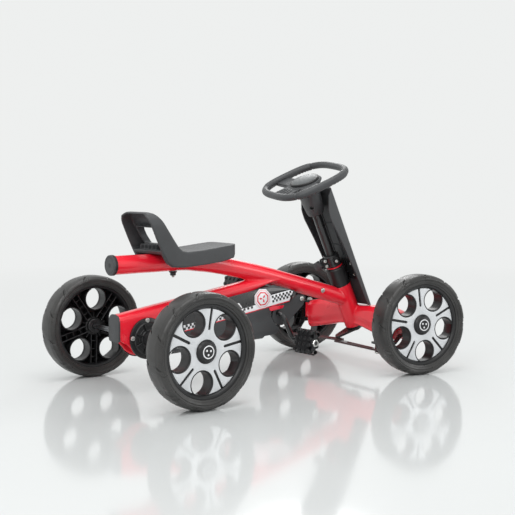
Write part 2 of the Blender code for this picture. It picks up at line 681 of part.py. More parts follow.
def build_drive():
    crank_axis = empty("crank_turn", KART, (CRANK_X, 0, CRANK_Z), (0, 0, 0))
    axle_axis = empty("rear_axle_turn", KART, (REAR_X, 0, AXLE_Z), (0, 0, 0))
    add_part("front_sprocket", sprocket_mesh(SPROCKET_FRONT_TEETH, CRANK_ROD_RADIUS + GAP), STEEL,
             crank_axis)
    add_part("rear_sprocket", sprocket_mesh(SPROCKET_REAR_TEETH, REAR_AXLE_RADIUS + GAP), STEEL,
             axle_axis)
    chain = plate_mesh([belt_outline(CHAIN_CLEAR + CHAIN_THICKNESS), belt_outline(CHAIN_CLEAR)],
                       -CHAIN_WIDTH / 2, CHAIN_WIDTH / 2)
    add_part("chain", chain, DARK_STEEL, KART)
    axle_end = WHEEL_Y + 0.011
    shade(add_part("rear_axle", cylinder_mesh(REAR_AXLE_RADIUS, -axle_end, axle_end, 16, "Y"), STEEL,
                   axle_axis))
    down = Vector((CRANK_THROW * sin(CRANK_TURN), 0, -CRANK_THROW * cos(CRANK_TURN)))
    side = Vector((0, 1, 0))
    pedal_outer = PEDAL_Y + PEDAL_WIDTH / 2 + 0.003
    rise = 0.011
    half = [side * 0, side * (CRANK_ARM_Y - rise), side * (CRANK_ARM_Y - 0.003) - down * 0.06,
            side * CRANK_ARM_Y - down * 0.18, side * CRANK_ARM_Y - down * 0.84,
            side * (CRANK_ARM_Y + 0.003) - down * 0.95, side * (CRANK_ARM_Y + rise) - down,
            side * pedal_outer - down]
    path = [Vector((p.x * -1, p.y * -1, p.z * -1)) for p in half[:0:-1]] + half
    shade(add_part("crank", tube_mesh(path, CRANK_ROD_RADIUS, sides=3), DARK_STEEL, crank_axis))
    for name, sign in (("right", -1), ("left", 1)):
        place = down * -sign + side * (sign * PEDAL_Y)
        pin = empty("pedal_turn_" + name, crank_axis, place, (0, radians(14), 0))
        add_part("pedal_" + name, pedal_mesh(), BLACK, pin)


def pedal_mesh():
    half_x = PEDAL_THICKNESS / 2
    half_z = PEDAL_LENGTH / 2
    chamfer = 0.007
    section = [(-half_x, -half_z + chamfer), (-half_x + chamfer, -half_z), (half_x - chamfer, -half_z),
               (half_x, -half_z + chamfer), (half_x, half_z - chamfer), (half_x - chamfer, half_z),
               (-half_x + chamfer, half_z), (-half_x, half_z - chamfer)]
    hole = circle((0, 0), CRANK_ROD_RADIUS + RUNNING_GAP, 14)
    return plate_mesh([section, hole], -PEDAL_WIDTH / 2, PEDAL_WIDTH / 2, "Y")


# ---------------------------------------------------------------- wheels
def tyre_mesh():
    half = TYRE_WIDTH / 2
    outer = WHEEL_RADIUS
    inner = RIM_OUTER + 0.0008
    profile = [(inner, half - 0.007), (inner + 0.006, half - 0.002), (outer - 0.009, half),
               (outer - 0.002, half - 0.006), (outer, half - 0.014), (outer, -half + 0.014),
               (outer - 0.002, -half + 0.006), (outer - 0.009, -half), (inner + 0.006, -half + 0.002),
               (inner, -half + 0.007)]
    return turned_mesh(profile, WHEEL_SEGMENTS, closed=True)


def spoke_holes(depth_low, depth_high, radius):
    holes = []
    for k in range(SPOKES):
        angle = 2 * pi * (k + 0.5) / SPOKES
        centre = (HOLE_CENTRE * cos(angle), HOLE_CENTRE * sin(angle))
        holes.append(cylinder_mesh(radius, depth_low, depth_high, 12, "Z", centre))
    return holes


def rim_mesh(bore):
    """Black wheel body: rim band, web with five round openings, hub."""
    half = TYRE_WIDTH / 2 - 0.008
    profile = [(bore, 0.012), (0.0225, 0.012), (COVER_RADIUS + 0.0005, 0.012),
               (COVER_RADIUS + 0.0005, half), (RIM_OUTER, half),
               (RIM_OUTER, -half), (COVER_RADIUS + 0.0005, -half), (COVER_RADIUS - 0.001, -0.009),
               (0.022, -0.009), (0.018, -0.014), (bore, -0.014)]
    body = turned_mesh(profile, WHEEL_SEGMENTS, closed=True)
    return combine(body, spoke_holes(-0.05, 0.05, HOLE_RADIUS - 0.0045))


def cover_mesh():
    """Silver star: five spokes, each with a radial slot."""
    low = 0.012 + GAP
    high = low + COVER_THICKNESS
    disc = plate_mesh([circle((0, 0), COVER_RADIUS - GAP, WHEEL_SEGMENTS), circle((0, 0), 0.0232, 20)],
                      low, high, "Z")
    cutters = spoke_holes(-0.05, 0.05, HOLE_RADIUS)
    for k in range(SPOKES):
        angle = 2 * pi * k / SPOKES
        slot = box_mesh((0.041, -0.003, -0.05), (0.078, 0.003, 0.05))
        for vert in slot.vertices:
            x, y, z = vert.co
            vert.co = (x * cos(angle) - y * sin(angle), x * sin(angle) + y * cos(angle), z)
        cutters.append(slot)
    return combine(disc, cutters)


def cap_mesh():
    low = 0.012 + GAP
    profile = [(0, low + 0.0105), (0.0140, low + 0.0095), (0.0205, low + 0.006), (0.0225, low + 0.001),
               (0.0225, low), (0, low)]
    return turned_mesh(profile, 20)


def build_wheels():
    rims = {"front": rim_mesh(STUB_RADIUS + RUNNING_GAP), "rear": rim_mesh(REAR_AXLE_RADIUS + RUNNING_GAP)}
    tyre = tyre_mesh()
    cover = cover_mesh()
    cap = cap_mesh()
    for end in ("front", "rear"):
        for side, sign in (("right", -1), ("left", 1)):
            name = end + "_" + side
            if end == "front":
                parent = KNUCKLES[side]
                place = (0, sign * KINGPIN_INSET, AXLE_Z)
            else:
                parent = KART
                place = (REAR_X, sign * WHEEL_Y, AXLE_Z)
            axis = empty("wheel_turn_" + name, parent, place, (-sign * pi / 2, 0, 0))
            turn = (0, 0, SPOKE_PHASE[name])
            shade(add_part("tyre_" + name, tyre.copy(), RUBBER, axis))
            shade(add_part("rim_" + name, rims[end].copy(), BLACK, axis, rotation=turn))
            add_part("wheel_cover_" + name, cover.copy(), SILVER, axis, rotation=turn)
            shade(add_part("hub_cap_" + name, cap.copy(), BLACK, axis))


# ---------------------------------------------------------------- steering
def knuckle_mesh(sign):
    """Fork around the beam's eye, stub axle outwards, steering arm back and inwards."""
    plate_y = 0.0165
    lugs = []
    for low, high in ((0.0827, 0.0877), (0.1283, 0.1333)):
        lugs.append(cylinder_mesh(0.0125, low, high, 16, "Z"))
        near, far = sorted((0, sign * (plate_y + 0.004)))
        lugs.append(box_mesh((-0.0125, near, low), (0.0125, far, high)))
    near, far = sorted((sign * plate_y, sign * (plate_y + 0.005)))
    upright = box_mesh((-0.0125, near, 0.0827), (0.0125, far, 0.1333))
    near, far = sorted((sign * (plate_y + 0.003), sign * (KINGPIN_INSET + 0.011)))
    stub = cylinder_mesh(STUB_RADIUS, near, far, 16, "Y", (0, AXLE_Z))
    arm = steering_arm_mesh(sign)
    mesh = combine(upright, lugs + [stub, arm], 'UNION')
    holes = [cylinder_mesh(0.0046, 0.05, 0.16, 12, "Z")]
    return combine(mesh, holes)


def steering_arm_mesh(sign):
    """Flat bar from the lower lug to the tie rod pin, stepping down on the way."""
    inward = -sign * KNUCKLE_ARM_IN
    low = KNUCKLE_ARM_Z
    high = KNUCKLE_ARM_Z + 0.005
    side = [(0.000, 0.0852), (-0.016, 0.0852), (-0.030, high), (-KNUCKLE_ARM - 0.008, high),
            (-KNUCKLE_ARM - 0.008, low), (-0.032, low), (-0.018, 0.0802), (0.000, 0.0802)]
    mesh = plate_mesh([side], -0.008, 0.008)
    for vert in mesh.vertices:
        share = min(max((-vert.co.x - KNUCKLE_ARM_BEND) / (KNUCKLE_ARM - KNUCKLE_ARM_BEND), 0.0), 1.3)
        vert.co.y += inward * share
    return mesh


def build_knuckles():
    for side, sign in (("right", -1), ("left", 1)):
        frame = KNUCKLES[side]
        add_part("knuckle_" + side, knuckle_mesh(sign), DARK_STEEL, frame)
        pin = turned_mesh([(0, 0.1385), (0.0065, 0.1385), (0.0075, 0.1365), (0.0075, 0.1336),
                           (0.0040, 0.1336), (0.0040, 0.0800), (0, 0.0800)], 12)
        shade(add_part("kingpin_" + side, pin, STEEL, frame))


def pitman_tip():
    """Pitman pin in the kart's frame."""
    local = Vector((-PITMAN_LENGTH, 0, PITMAN_HEIGHT))
    local.rotate(STEERING.rotation_euler)
    local.rotate(COLUMN_LINE.rotation_euler)
    return local + Vector((COLUMN_X, 0, AXLE_Z))


def build_tie_rods():
    tip = pitman_tip()
    for side, sign in (("right", -1), ("left", 1)):
        frame = KNUCKLES[side]
        local = Vector((-KNUCKLE_ARM, -sign * KNUCKLE_ARM_IN, 0))
        pin = empty("tie_rod_turn_" + side, frame, (local.x, local.y, 0))
        world = local.copy()
        world.rotate(frame.rotation_euler)
        world += Vector((FRONT_X, sign * KINGPIN_Y, 0))
        reach = Vector((tip.x - world.x, tip.y - world.y, 0))
        heading = atan2(reach.y, reach.x) - STEER_TURN
        top = TIE_ROD_TOP if side == "left" else TIE_ROD_TOP - TIE_ROD_THICKNESS - 0.0005
        bar = tie_rod_mesh(reach.length, top)
        add_part("tie_rod_" + side, bar, MAROON, pin, rotation=(0, 0, heading))


def tie_rod_mesh(length, top):
    """Flat bar with a large eye over the pitman pin and a bolt up through the steering arm's end."""
    half = 0.0065
    outline = arc((0, 0), half, 90, 270, 6) + arc((length, 0), ROD_EYE_RADIUS + 0.0042, -125, 125, 10)
    low = top - TIE_ROD_THICKNESS
    bar = plate_mesh([outline, circle((length, 0), ROD_EYE_RADIUS, 12)], low, top, "Z")
    post = cylinder_mesh(0.0050, low - 0.003, KNUCKLE_ARM_Z - GAP * 2, 12, "Z")
    return combine(bar, [post], 'UNION')


def build_steering():
    low = PITMAN_HEIGHT - 0.005
    high = STEERING_WHEEL_REACH - 0.022
    bore = COLUMN_RADIUS - COLUMN_WALL
    tube = [(bore, high), (COLUMN_RADIUS, high), (COLUMN_RADIUS, low), (bore, low)]
    shade(add_part("steering_column", turned_mesh(tube, 20, closed=True), BLACK, STEERING))
    bore = COLUMN_RADIUS + GAP * 1.5
    collar = [(bore, CLAMP_TOP), (0.0170, CLAMP_TOP), (0.0185, CLAMP_TOP - 0.002),
              (0.0185, SLEEVE_TOP + 0.004), (bore, SLEEVE_TOP + 0.004)]
    ears = box_mesh((-0.044, -0.009, SLEEVE_TOP + 0.006), (-0.012, 0.009, CLAMP_TOP - 0.002), 0.002)
    clamp = combine(turned_mesh(collar, 20, closed=True), [ears], 'UNION')
    clamp = combine(clamp, [cylinder_mesh(bore, 0.0, 0.3, 20)])
    shade(add_part("column_clamp", clamp, PLASTIC, STEERING))
    ring = [(bore, SLEEVE_TOP + 0.0035), (0.0190, SLEEVE_TOP + 0.0035), (0.0190, SLEEVE_TOP + GAP * 2),
            (bore, SLEEVE_TOP + GAP * 2)]
    shade(add_part("column_washer", turned_mesh(ring, 20, closed=True), RED, STEERING))
    outline = arc((0, 0), 0.018, -100, 100, 8) + arc((-PITMAN_LENGTH, 0), 0.009, 110, 250, 6)
    pitman = plate_mesh([outline, circle((0, 0), bore, 20)], PITMAN_HEIGHT, PITMAN_HEIGHT + 0.005, "Z")
    pin = cylinder_mesh(PITMAN_PIN_RADIUS, -0.012, 0.004, 10)
    for vert in pin.vertices:
        turned = Vector(vert.co)
        turned.rotate(COLUMN_LINE.rotation_euler.to_matrix().inverted())
        vert.co = turned + Vector((-PITMAN_LENGTH, 0, PITMAN_HEIGHT))
    add_part("pitman_arm", combine(pitman, [pin], 'UNION'), BLACK, STEERING)
    build_steering_wheel()


def rim_point(angle):
    """Point on the rim's centreline: a square with round corners, as (forward, left)."""
    power = 3.1
    c, s = cos(angle), sin(angle)
    forward = STEERING_RIM_FRONT * abs(c) ** (2 / power) * (1 if c >= 0 else -1)
    left = STEERING_RIM_SIDE * abs(s) ** (2 / power) * (1 if s >= 0 else -1)
    return Vector((forward, left, STEERING_WHEEL_REACH))


def rim_arc(middle, half_angle, count):
    return [rim_point(middle - half_angle + 2 * half_angle * k / (count - 1)) for k in range(count)]


def build_steering_wheel():
    ring = tube_mesh(rim_arc(pi, pi * 35 / 36, 36), STEERING_RIM_RADIUS, sides=2, cyclic=True)
    hub_low = STEERING_WHEEL_REACH - 0.016
    hub_high = STEERING_WHEEL_REACH - 0.001
    hub = turned_mesh([(0, hub_high), (0.036, hub_high), (0.040, hub_high - 0.004), (0.030, hub_low),
                       (0, hub_low)], 20)
    spokes = []
    for sign in (-1, 1):
        near, far = sorted((sign * 0.030, sign * (STEERING_RIM_SIDE - 0.002)))
        spokes.append(box_mesh((-0.030, near, STEERING_WHEEL_REACH - 0.010),
                               (0.004, far, STEERING_WHEEL_REACH - 0.002)))
    spokes.append(box_mesh((-STEERING_RIM_FRONT + 0.002, -0.030, STEERING_WHEEL_REACH - 0.010),
                           (-0.020, 0.030, STEERING_WHEEL_REACH - 0.002)))
    wheel = combine(ring, [hub] + spokes, 'UNION')
    shade(add_part("steering_wheel", wheel, PLASTIC, STEERING))
    pad_low = hub_high + GAP
    pad = turned_mesh([(0, pad_low + 0.008), (0.026, pad_low + 0.007), (0.031, pad_low + 0.004),
                       (0.031, pad_low), (0, pad_low)], 24)
    for vert in pad.vertices:
        vert.co.y *= 1.12
    shade(add_part("steering_pad", pad, PAD, STEERING))
    boss_high = hub_low - GAP
    boss_neck = SHIELD_TOP + 0.001
    boss = turned_mesh([(COLUMN_RADIUS + 0.0005, boss_high - 0.004), (0.020, boss_high), (0.030, boss_high),
                        (0.028, boss_neck + 0.004), (BOSS_NECK_RADIUS, boss_neck - 0.002),
                        (0.0205, BOSS_LOW + 0.004), (0.0175, BOSS_LOW), (COLUMN_RADIUS + 0.0005, BOSS_LOW)],
                       20, closed=True)
    for vert in boss.vertices:
        if vert.co.z > boss_neck and sqrt(vert.co.x ** 2 + vert.co.y ** 2) > 0.025:
            vert.co.y *= BOSS_SPREAD
    shade(add_part("steering_boss", boss, PLASTIC, STEERING))


# ---------------------------------------------------------------- seat
def seat_outline():
    """Side view of the seat moulding, as (x, z)."""
    return [(-0.105, 0.303), (-0.149, 0.298), (-0.186, 0.2945), (-0.232, 0.2925), (-0.245, 0.296),
            (-0.256, 0.304), (-0.270, 0.322), (-0.290, 0.350), (-0.300, 0.370), (-0.304, 0.376),
            (-0.312, 0.379), (-0.322, 0.376), (-0.322, 0.366), (-0.315, 0.345), (-0.308, 0.320),
            (-0.297, 0.285), (-0.286, 0.270), (-0.270, 0.262), (-0.235, 0.259), (-0.179, 0.263),
            (-0.137, 0.267), (-0.111, 0.274)]


def build_seat():
    body = plate_mesh([seat_outline()], -SEAT_HALF_WIDTH, SEAT_HALF_WIDTH, "Y", 0.003, 1)
    inner = SEAT_HALF_WIDTH - SEAT_WALL
    ceiling = TUBE_REAR_Z + TUBE_RADIUS + 0.002
    under = plate_mesh([[(-0.114, 0.240), (-0.109, 0.2965), (-0.149, 0.2915), (-0.186, ceiling - 0.0005),
                         (-0.290, ceiling - 0.0005), (-0.330, ceiling - 0.0005), (-0.330, 0.240)]],
                       -inner, inner)
    pocket = plate_mesh([[(-0.335, 0.366), (-0.311, 0.366), (-0.300, 0.345), (-0.281, 0.318),
                          (-0.272, 0.300), (-0.335, 0.300)]], -inner + 0.004, inner - 0.004)
    window = box_mesh((-0.34, -0.030, 0.312), (-0.24, 0.030, 0.346), 0.004, 1)
    top_z = max(z for x, z in seat_outline())
    corner = SEAT_CORNER_RADIUS
    silhouette = [(-SEAT_HALF_WIDTH - 0.01, 0.23), (SEAT_HALF_WIDTH + 0.01, 0.23),
                  (SEAT_HALF_WIDTH + 0.01, 0.31), (SEAT_HALF_WIDTH, 0.33)]
    silhouette += arc((SEAT_HALF_WIDTH - corner, top_z - corner), corner, 0, 90, 5)
    silhouette += arc((-SEAT_HALF_WIDTH + corner, top_z - corner), corner, 90, 180, 5)
    silhouette += [(-SEAT_HALF_WIDTH, 0.33), (-SEAT_HALF_WIDTH - 0.01, 0.31)]
    rounded = combine(body, [plate_mesh([silhouette], -0.4, 0.0, "X")], 'INTERSECT')
    clear = TUBE_RADIUS + SEAT_RAIL_CLEAR
    notch = box_mesh((-0.130, -clear, 0.250), (-0.090, clear, TUBE_REAR_Z + clear))
    add_part("seat_shell", combine(rounded, [under, pocket, window, notch]), PLASTIC, KART)
    saddle_low = TUBE_REAR_Z + TUBE_RADIUS + GAP
    saddle_high = ceiling - 0.0005 - GAP
    saddle = box_mesh((SEAT_BOLT_X - 0.022, -0.014, saddle_low), (SEAT_BOLT_X + 0.014, 0.014, saddle_high))
    hole = cylinder_mesh(0.0036, 0.2, 0.4, 12, "Z", (SEAT_BOLT_X, 0))
    add_part("seat_saddle", combine(saddle, [hole]), BLACK, KART)
    bolt_low = TUBE_REAR_Z - TUBE_RADIUS - 0.013
    shade(add_part("seat_bolt", cylinder_mesh(0.003, bolt_low, saddle_high - GAP, 12, "Z",
                                              (SEAT_BOLT_X, 0)), STEEL, KART))
    nut_high = TUBE_REAR_Z - TUBE_RADIUS - GAP
    nut = turned_mesh([(0.0036, nut_high), (SEAT_NUT_RADIUS, nut_high), (SEAT_NUT_RADIUS, nut_high - 0.002),
                       (0.0060, nut_high - 0.003), (0.0060, nut_high - 0.009),
                       (0.0036, nut_high - 0.009)], 12, closed=True)
    shade(add_part("seat_nut", nut, BLACK, KART, (SEAT_BOLT_X, 0, 0)))


build_main_tube()
build_tube_end_cap()
build_rear_arm()
build_arm_end_cover()
build_bearing_housings()
build_head_tube()
build_front_beam()
build_column_bushes()
build_front_shield()
build_chain_guards()
build_sticker()
build_crank_bracket()
build_frame_bolts()
build_drive()
build_wheels()
build_knuckles()
build_tie_rods()
build_steering()
build_seat()
bpy.context.view_layer.update()
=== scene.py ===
"""Looks of the child's pedal go kart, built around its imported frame.

Metres, +X forward, +Y to the kart's left, +Z up.  Every piece is made where it stands at rest, from
the joints' axes and the nodes' boxes, and rides on its body.
"""
import json
from math import acos, atan2, cos, pi, radians, sin, sqrt, tan

import bmesh
import bpy
from mathutils import Matrix, Vector


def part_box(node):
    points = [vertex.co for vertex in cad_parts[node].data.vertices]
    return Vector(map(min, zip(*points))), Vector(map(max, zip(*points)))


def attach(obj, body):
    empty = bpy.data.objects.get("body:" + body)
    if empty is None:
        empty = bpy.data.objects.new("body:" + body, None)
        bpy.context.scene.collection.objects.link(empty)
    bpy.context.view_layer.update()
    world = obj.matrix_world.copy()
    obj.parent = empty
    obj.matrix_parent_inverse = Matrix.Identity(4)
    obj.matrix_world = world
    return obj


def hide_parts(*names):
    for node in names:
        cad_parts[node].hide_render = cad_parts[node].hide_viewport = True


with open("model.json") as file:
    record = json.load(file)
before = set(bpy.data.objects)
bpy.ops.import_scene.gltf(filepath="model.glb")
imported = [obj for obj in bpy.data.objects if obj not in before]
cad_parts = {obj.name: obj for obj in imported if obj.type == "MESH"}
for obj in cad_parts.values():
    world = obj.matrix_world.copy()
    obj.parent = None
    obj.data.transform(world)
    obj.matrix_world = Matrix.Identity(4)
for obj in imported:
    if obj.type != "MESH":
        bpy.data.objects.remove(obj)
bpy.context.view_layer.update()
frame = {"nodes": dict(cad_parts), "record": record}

JOINTS = {joint["name"]: joint for joint in frame["record"]["behaviour"]["joints"]}
RATIOS = {pair["joint"]: pair["ratio"] for pair in frame["record"]["behaviour"]["couplings"]}


# ---------------------------------------------------------------- places read from the frame
def joint_place(name):
    return Vector(JOINTS[name]["pos_m"])


def joint_axis(name):
    return Vector(JOINTS[name]["axis"]).normalized()


def axes_matrix(origin, x_axis, z_axis):
    """Frame at origin with these X and Z axes."""
    y_axis = z_axis.cross(x_axis)
    matrix = Matrix((x_axis, y_axis, z_axis)).transposed().to_4x4()
    matrix.translation = origin
    return matrix


REAR = joint_place("rear_axle_spin")
KINGPIN = {side: joint_place(f"knuckle_{side}_steer") for side in ("right", "left")}
MIDDLE_X = (REAR.x + KINGPIN["right"].x) / 2
REAR_X = REAR.x - MIDDLE_X
FRONT_X = -REAR_X
AXLE_Z = REAR.z
SIDES = (("right", -1), ("left", 1))
STEERED = joint_axis("wheel_front_right_spin")
STEER_TURN = atan2(-STEERED.x, STEERED.y)
KART = Matrix.Translation((MIDDLE_X, 0, 0))
COLUMN_AXIS = joint_axis("steering_turn")
COLUMN_RAKE = atan2(-COLUMN_AXIS.x, COLUMN_AXIS.z)
COLUMN = axes_matrix(joint_place("steering_turn"), Vector((0, 1, 0)).cross(COLUMN_AXIS), COLUMN_AXIS)
STEERING = COLUMN @ Matrix.Rotation(STEER_TURN * RATIOS["steering_turn"], 4, 'Z')
CRANK = joint_place("crank_spin")
COLUMN_X = joint_place("steering_turn").x - MIDDLE_X


def wheel_matrix(name):
    """Frame of a wheel, Z outwards along its axle."""
    sign = -1 if name.endswith("right") else 1
    low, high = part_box("tyre_" + name)
    middle = (low + high) / 2
    if name.startswith("front"):
        forward = Vector((cos(STEER_TURN), sin(STEER_TURN), 0))
        return axes_matrix(joint_place(f"wheel_{name}_spin"), forward, sign * STEERED)
    return axes_matrix(Vector((REAR.x, middle.y, REAR.z)), Vector((1, 0, 0)), Vector((0, sign, 0)))


# ---------------------------------------------------------------- materials
def new_node(tree, kind, **settings):
    node = tree.nodes.new(kind)
    for key, value in settings.items():
        setattr(node, key, value)
    return node


def noise(tree, coordinates, scale, detail=3.0, stretch=None):
    node = new_node(tree, "ShaderNodeTexNoise")
    node.inputs["Scale"].default_value = scale
    node.inputs["Detail"].default_value = detail
    if stretch:
        mapping = new_node(tree, "ShaderNodeMapping")
        mapping.inputs["Scale"].default_value = stretch
        tree.links.new(coordinates, mapping.inputs["Vector"])
        coordinates = mapping.outputs["Vector"]
    tree.links.new(coordinates, node.inputs["Vector"])
    return node.outputs["Fac"]


def spread(tree, value, low, high, start=0.3, end=0.7):
    """Map a noise value from start..end to low..high."""
    node = new_node(tree, "ShaderNodeMapRange")
    node.inputs["From Min"].default_value = start
    node.inputs["From Max"].default_value = end
    node.inputs["To Min"].default_value = low
    node.inputs["To Max"].default_value = high
    tree.links.new(value, node.inputs["Value"])
    return node.outputs["Result"]


MOTTLE_SCALE = 22.0
MOTTLE_DETAIL = 5.0
ROUGHNESS_COARSER_THAN_GRAIN = 12


def finish_material(name, colour, roughness, metallic=0.0, coat=0.0, coat_roughness=0.05,
                    mottle=0.06, grain_scale=1500.0, grain_depth=0.00008, grain_strength=0.3,
                    rough_spread=0.06, stretch=None, scuff=0.0):
    """Principled surface with broad colour variation, fine grain and uneven roughness."""
    material = bpy.data.materials.new(name)
    material.use_nodes = True
    tree = material.node_tree
    shader = tree.nodes["Principled BSDF"]
    shader.inputs["Metallic"].default_value = metallic
    shader.inputs["Coat Weight"].default_value = coat
    shader.inputs["Coat Roughness"].default_value = coat_roughness
    place = new_node(tree, "ShaderNodeTexCoord").outputs["Object"]
    mix = new_node(tree, "ShaderNodeMix", data_type='RGBA')
    mix.inputs["A"].default_value = (*[c * (1 - mottle) for c in colour], 1)
    mix.inputs["B"].default_value = (*[min(c * (1 + mottle) + scuff, 1) for c in colour], 1)
    tree.links.new(spread(tree, noise(tree, place, MOTTLE_SCALE, MOTTLE_DETAIL, stretch), 0, 1),
                   mix.inputs["Factor"])
    tree.links.new(mix.outputs["Result"], shader.inputs["Base Color"])
    fine = noise(tree, place, grain_scale, 2.0, stretch)
    middle = noise(tree, place, grain_scale / ROUGHNESS_COARSER_THAN_GRAIN, 4.0, stretch)
    rough = spread(tree, middle, roughness - rough_spread, roughness + rough_spread)
    tree.links.new(rough, shader.inputs["Roughness"])
    bump = new_node(tree, "ShaderNodeBump")
    bump.inputs["Strength"].default_value = grain_strength
    bump.inputs["Distance"].default_value = grain_depth
    tree.links.new(fine, bump.inputs["Height"])
    tree.links.new(bump.outputs["Normal"], shader.inputs["Normal"])
    return material


RED = finish_material("red_enamel", (0.90, 0.010, 0.030), 0.32, coat=0.55, coat_roughness=0.06,
                      mottle=0.04, grain_scale=260.0, grain_depth=0.00003, grain_strength=0.06)
GREY = finish_material("grained_grey_plastic", (0.048, 0.050, 0.053), 0.46, mottle=0.10,
                       grain_scale=2200.0, grain_depth=0.00014, grain_strength=0.45)
BLACK = finish_material("black_plastic", (0.010, 0.010, 0.011), 0.38, mottle=0.15,
                        grain_scale=1800.0, grain_depth=0.00008)
TYRE = finish_material("moulded_tyre", (0.030, 0.029, 0.028), 0.36, mottle=0.25, grain_scale=900.0,
                       grain_depth=0.00016, grain_strength=0.35, rough_spread=0.10, scuff=0.006)
SILVER = finish_material("silver_lacquer", (0.70, 0.715, 0.735), 0.36, metallic=0.30,
                         coat=0.25,
                         mottle=0.05, grain_scale=3000.0, grain_depth=0.00005, grain_strength=0.25)
ZINC = finish_material("zinc_plate", (0.62, 0.62, 0.60), 0.30, metallic=1.0, mottle=0.12,
                       grain_scale=700.0, grain_depth=0.00004)
BRUSHED = finish_material("drawn_steel", (0.50, 0.51, 0.53), 0.28, metallic=1.0, mottle=0.10,
                          grain_scale=900.0, grain_depth=0.00005, stretch=(1.0, 0.05, 1.0))
DARK = finish_material("black_enamel", (0.014, 0.014, 0.015), 0.30, coat=0.4, mottle=0.20,
                       grain_scale=500.0, grain_depth=0.00006, grain_strength=0.15)
MAROON = finish_material("maroon_enamel", (0.045, 0.008, 0.010), 0.32, coat=0.4, mottle=0.25,
                         grain_scale=400.0, grain_depth=0.00006, scuff=0.004)
PAD = finish_material("pad_grey_plastic", (0.105, 0.112, 0.115), 0.40, mottle=0.06,
                      grain_scale=2000.0, grain_depth=0.00010)
WHITE = finish_material("label_white", (0.84, 0.84, 0.86), 0.30, coat=0.5, mottle=0.02,
                        grain_scale=900.0, grain_depth=0.00002)
LABEL_RED = finish_material("label_red", (0.72, 0.010, 0.035), 0.30, coat=0.5, mottle=0.03,
                            grain_scale=900.0, grain_depth=0.00002)
LABEL_PINK = finish_material("label_pink", (0.83, 0.40, 0.45), 0.30, coat=0.5, mottle=0.03,
                             grain_scale=900.0, grain_depth=0.00002)
LABEL_BLACK = finish_material("label_black", (0.010, 0.010, 0.011), 0.28, coat=0.5, mottle=0.05,
                              grain_scale=900.0, grain_depth=0.00002)



# ---------------------------------------------------------------- mesh helpers
def mesh_of(bm, matrix=None):
    """Mesh of a bmesh, placed by matrix, its faces turned outwards."""
    bmesh.ops.remove_doubles(bm, verts=bm.verts, dist=0.000002)
    if matrix is not None:
        bmesh.ops.transform(bm, matrix=matrix, verts=bm.verts)
    bmesh.ops.recalc_face_normals(bm, faces=bm.faces)
    mesh = bpy.data.meshes.new("piece")
    bm.to_mesh(mesh)
    bm.free()
    return mesh


def show(name, mesh, material, body, replaces=(), angle=35.0):
    """Make a mesh a visible piece that rides on a body."""
    piece = bpy.data.objects.new(name, mesh)
    bpy.context.scene.collection.objects.link(piece)
    mesh.materials.clear()
    mesh.materials.append(material)
    mesh.shade_smooth()
    mesh.set_sharp_from_angle(angle=radians(angle))
    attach(piece, body)
    if replaces:
        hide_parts(*replaces)
    return piece


def evaluated(piece):
    """Plain mesh of an object with its modifiers; the object is dropped."""
    bpy.context.view_layer.update()
    mesh = bpy.data.meshes.new_from_object(piece.evaluated_get(bpy.context.evaluated_depsgraph_get()))
    bpy.data.objects.remove(piece, do_unlink=True)
    return mesh


def helper(mesh):
    piece = bpy.data.objects.new("helper", mesh)
    bpy.context.scene.collection.objects.link(piece)
    return piece


def placed(mesh, matrix):
    mesh.transform(matrix)
    if matrix.to_3x3().determinant() < 0:
        mesh.flip_normals()
    return mesh


def joined(meshes):
    """One mesh with all these meshes as separate shells."""
    bm = bmesh.new()
    for mesh in meshes:
        bm.from_mesh(mesh)
    mesh = bpy.data.meshes.new("joined")
    bm.to_mesh(mesh)
    bm.free()
    return mesh


def grid(rows, ring=True, loop=False, caps=False):
    """Skin over rows of points; ring closes each row, loop joins the last row to the first."""
    bm = bmesh.new()
    verts = [[bm.verts.new(point) for point in row] for row in rows]
    width = len(rows[0])
    for i in range(len(rows) if loop else len(rows) - 1):
        a, b = verts[i], verts[(i + 1) % len(rows)]
        for k in range(width if ring else width - 1):
            n = (k + 1) % width
            bm.faces.new((a[k], a[n], b[n], b[k]))
    if caps:
        bm.faces.new(verts[0])
        bm.faces.new(verts[-1][::-1])
    return bm


def turned(profile, steps=64, matrix=None, closed=False):
    """Profile of (radius, height) turned about Z."""
    rows = [[(r * cos(2 * pi * k / steps), r * sin(2 * pi * k / steps), h) for r, h in profile]
            for k in range(steps)]
    bm = grid(rows, ring=closed, loop=True)
    bmesh.ops.remove_doubles(bm, verts=bm.verts, dist=0.000002)
    bmesh.ops.dissolve_degenerate(bm, edges=bm.edges, dist=0.000001)
    return mesh_of(bm, matrix)


def sweep(points, radius, sides=16, cyclic=False, flatten=1.0):
    """Tube through points; radius is a number or a function of the share along the path."""
    points = [Vector(p) for p in points]
    count = len(points)
    rows = []
    up = None
    for i, point in enumerate(points):
        before = points[i - 1] if i or cyclic else point
        after = points[(i + 1) % count] if i < count - 1 or cyclic else point
        along = (after - before).normalized()
        if up is None:
            up = along.orthogonal().normalized()
        up = (up - along * up.dot(along)).normalized()
        side = along.cross(up)
        r = radius(i / count) if callable(radius) else radius
        rows.append([point + up * r * cos(2 * pi * k / sides) + side * r * flatten * sin(2 * pi * k / sides)
                     for k in range(sides)])
    return mesh_of(grid(rows, ring=True, loop=cyclic, caps=not cyclic))


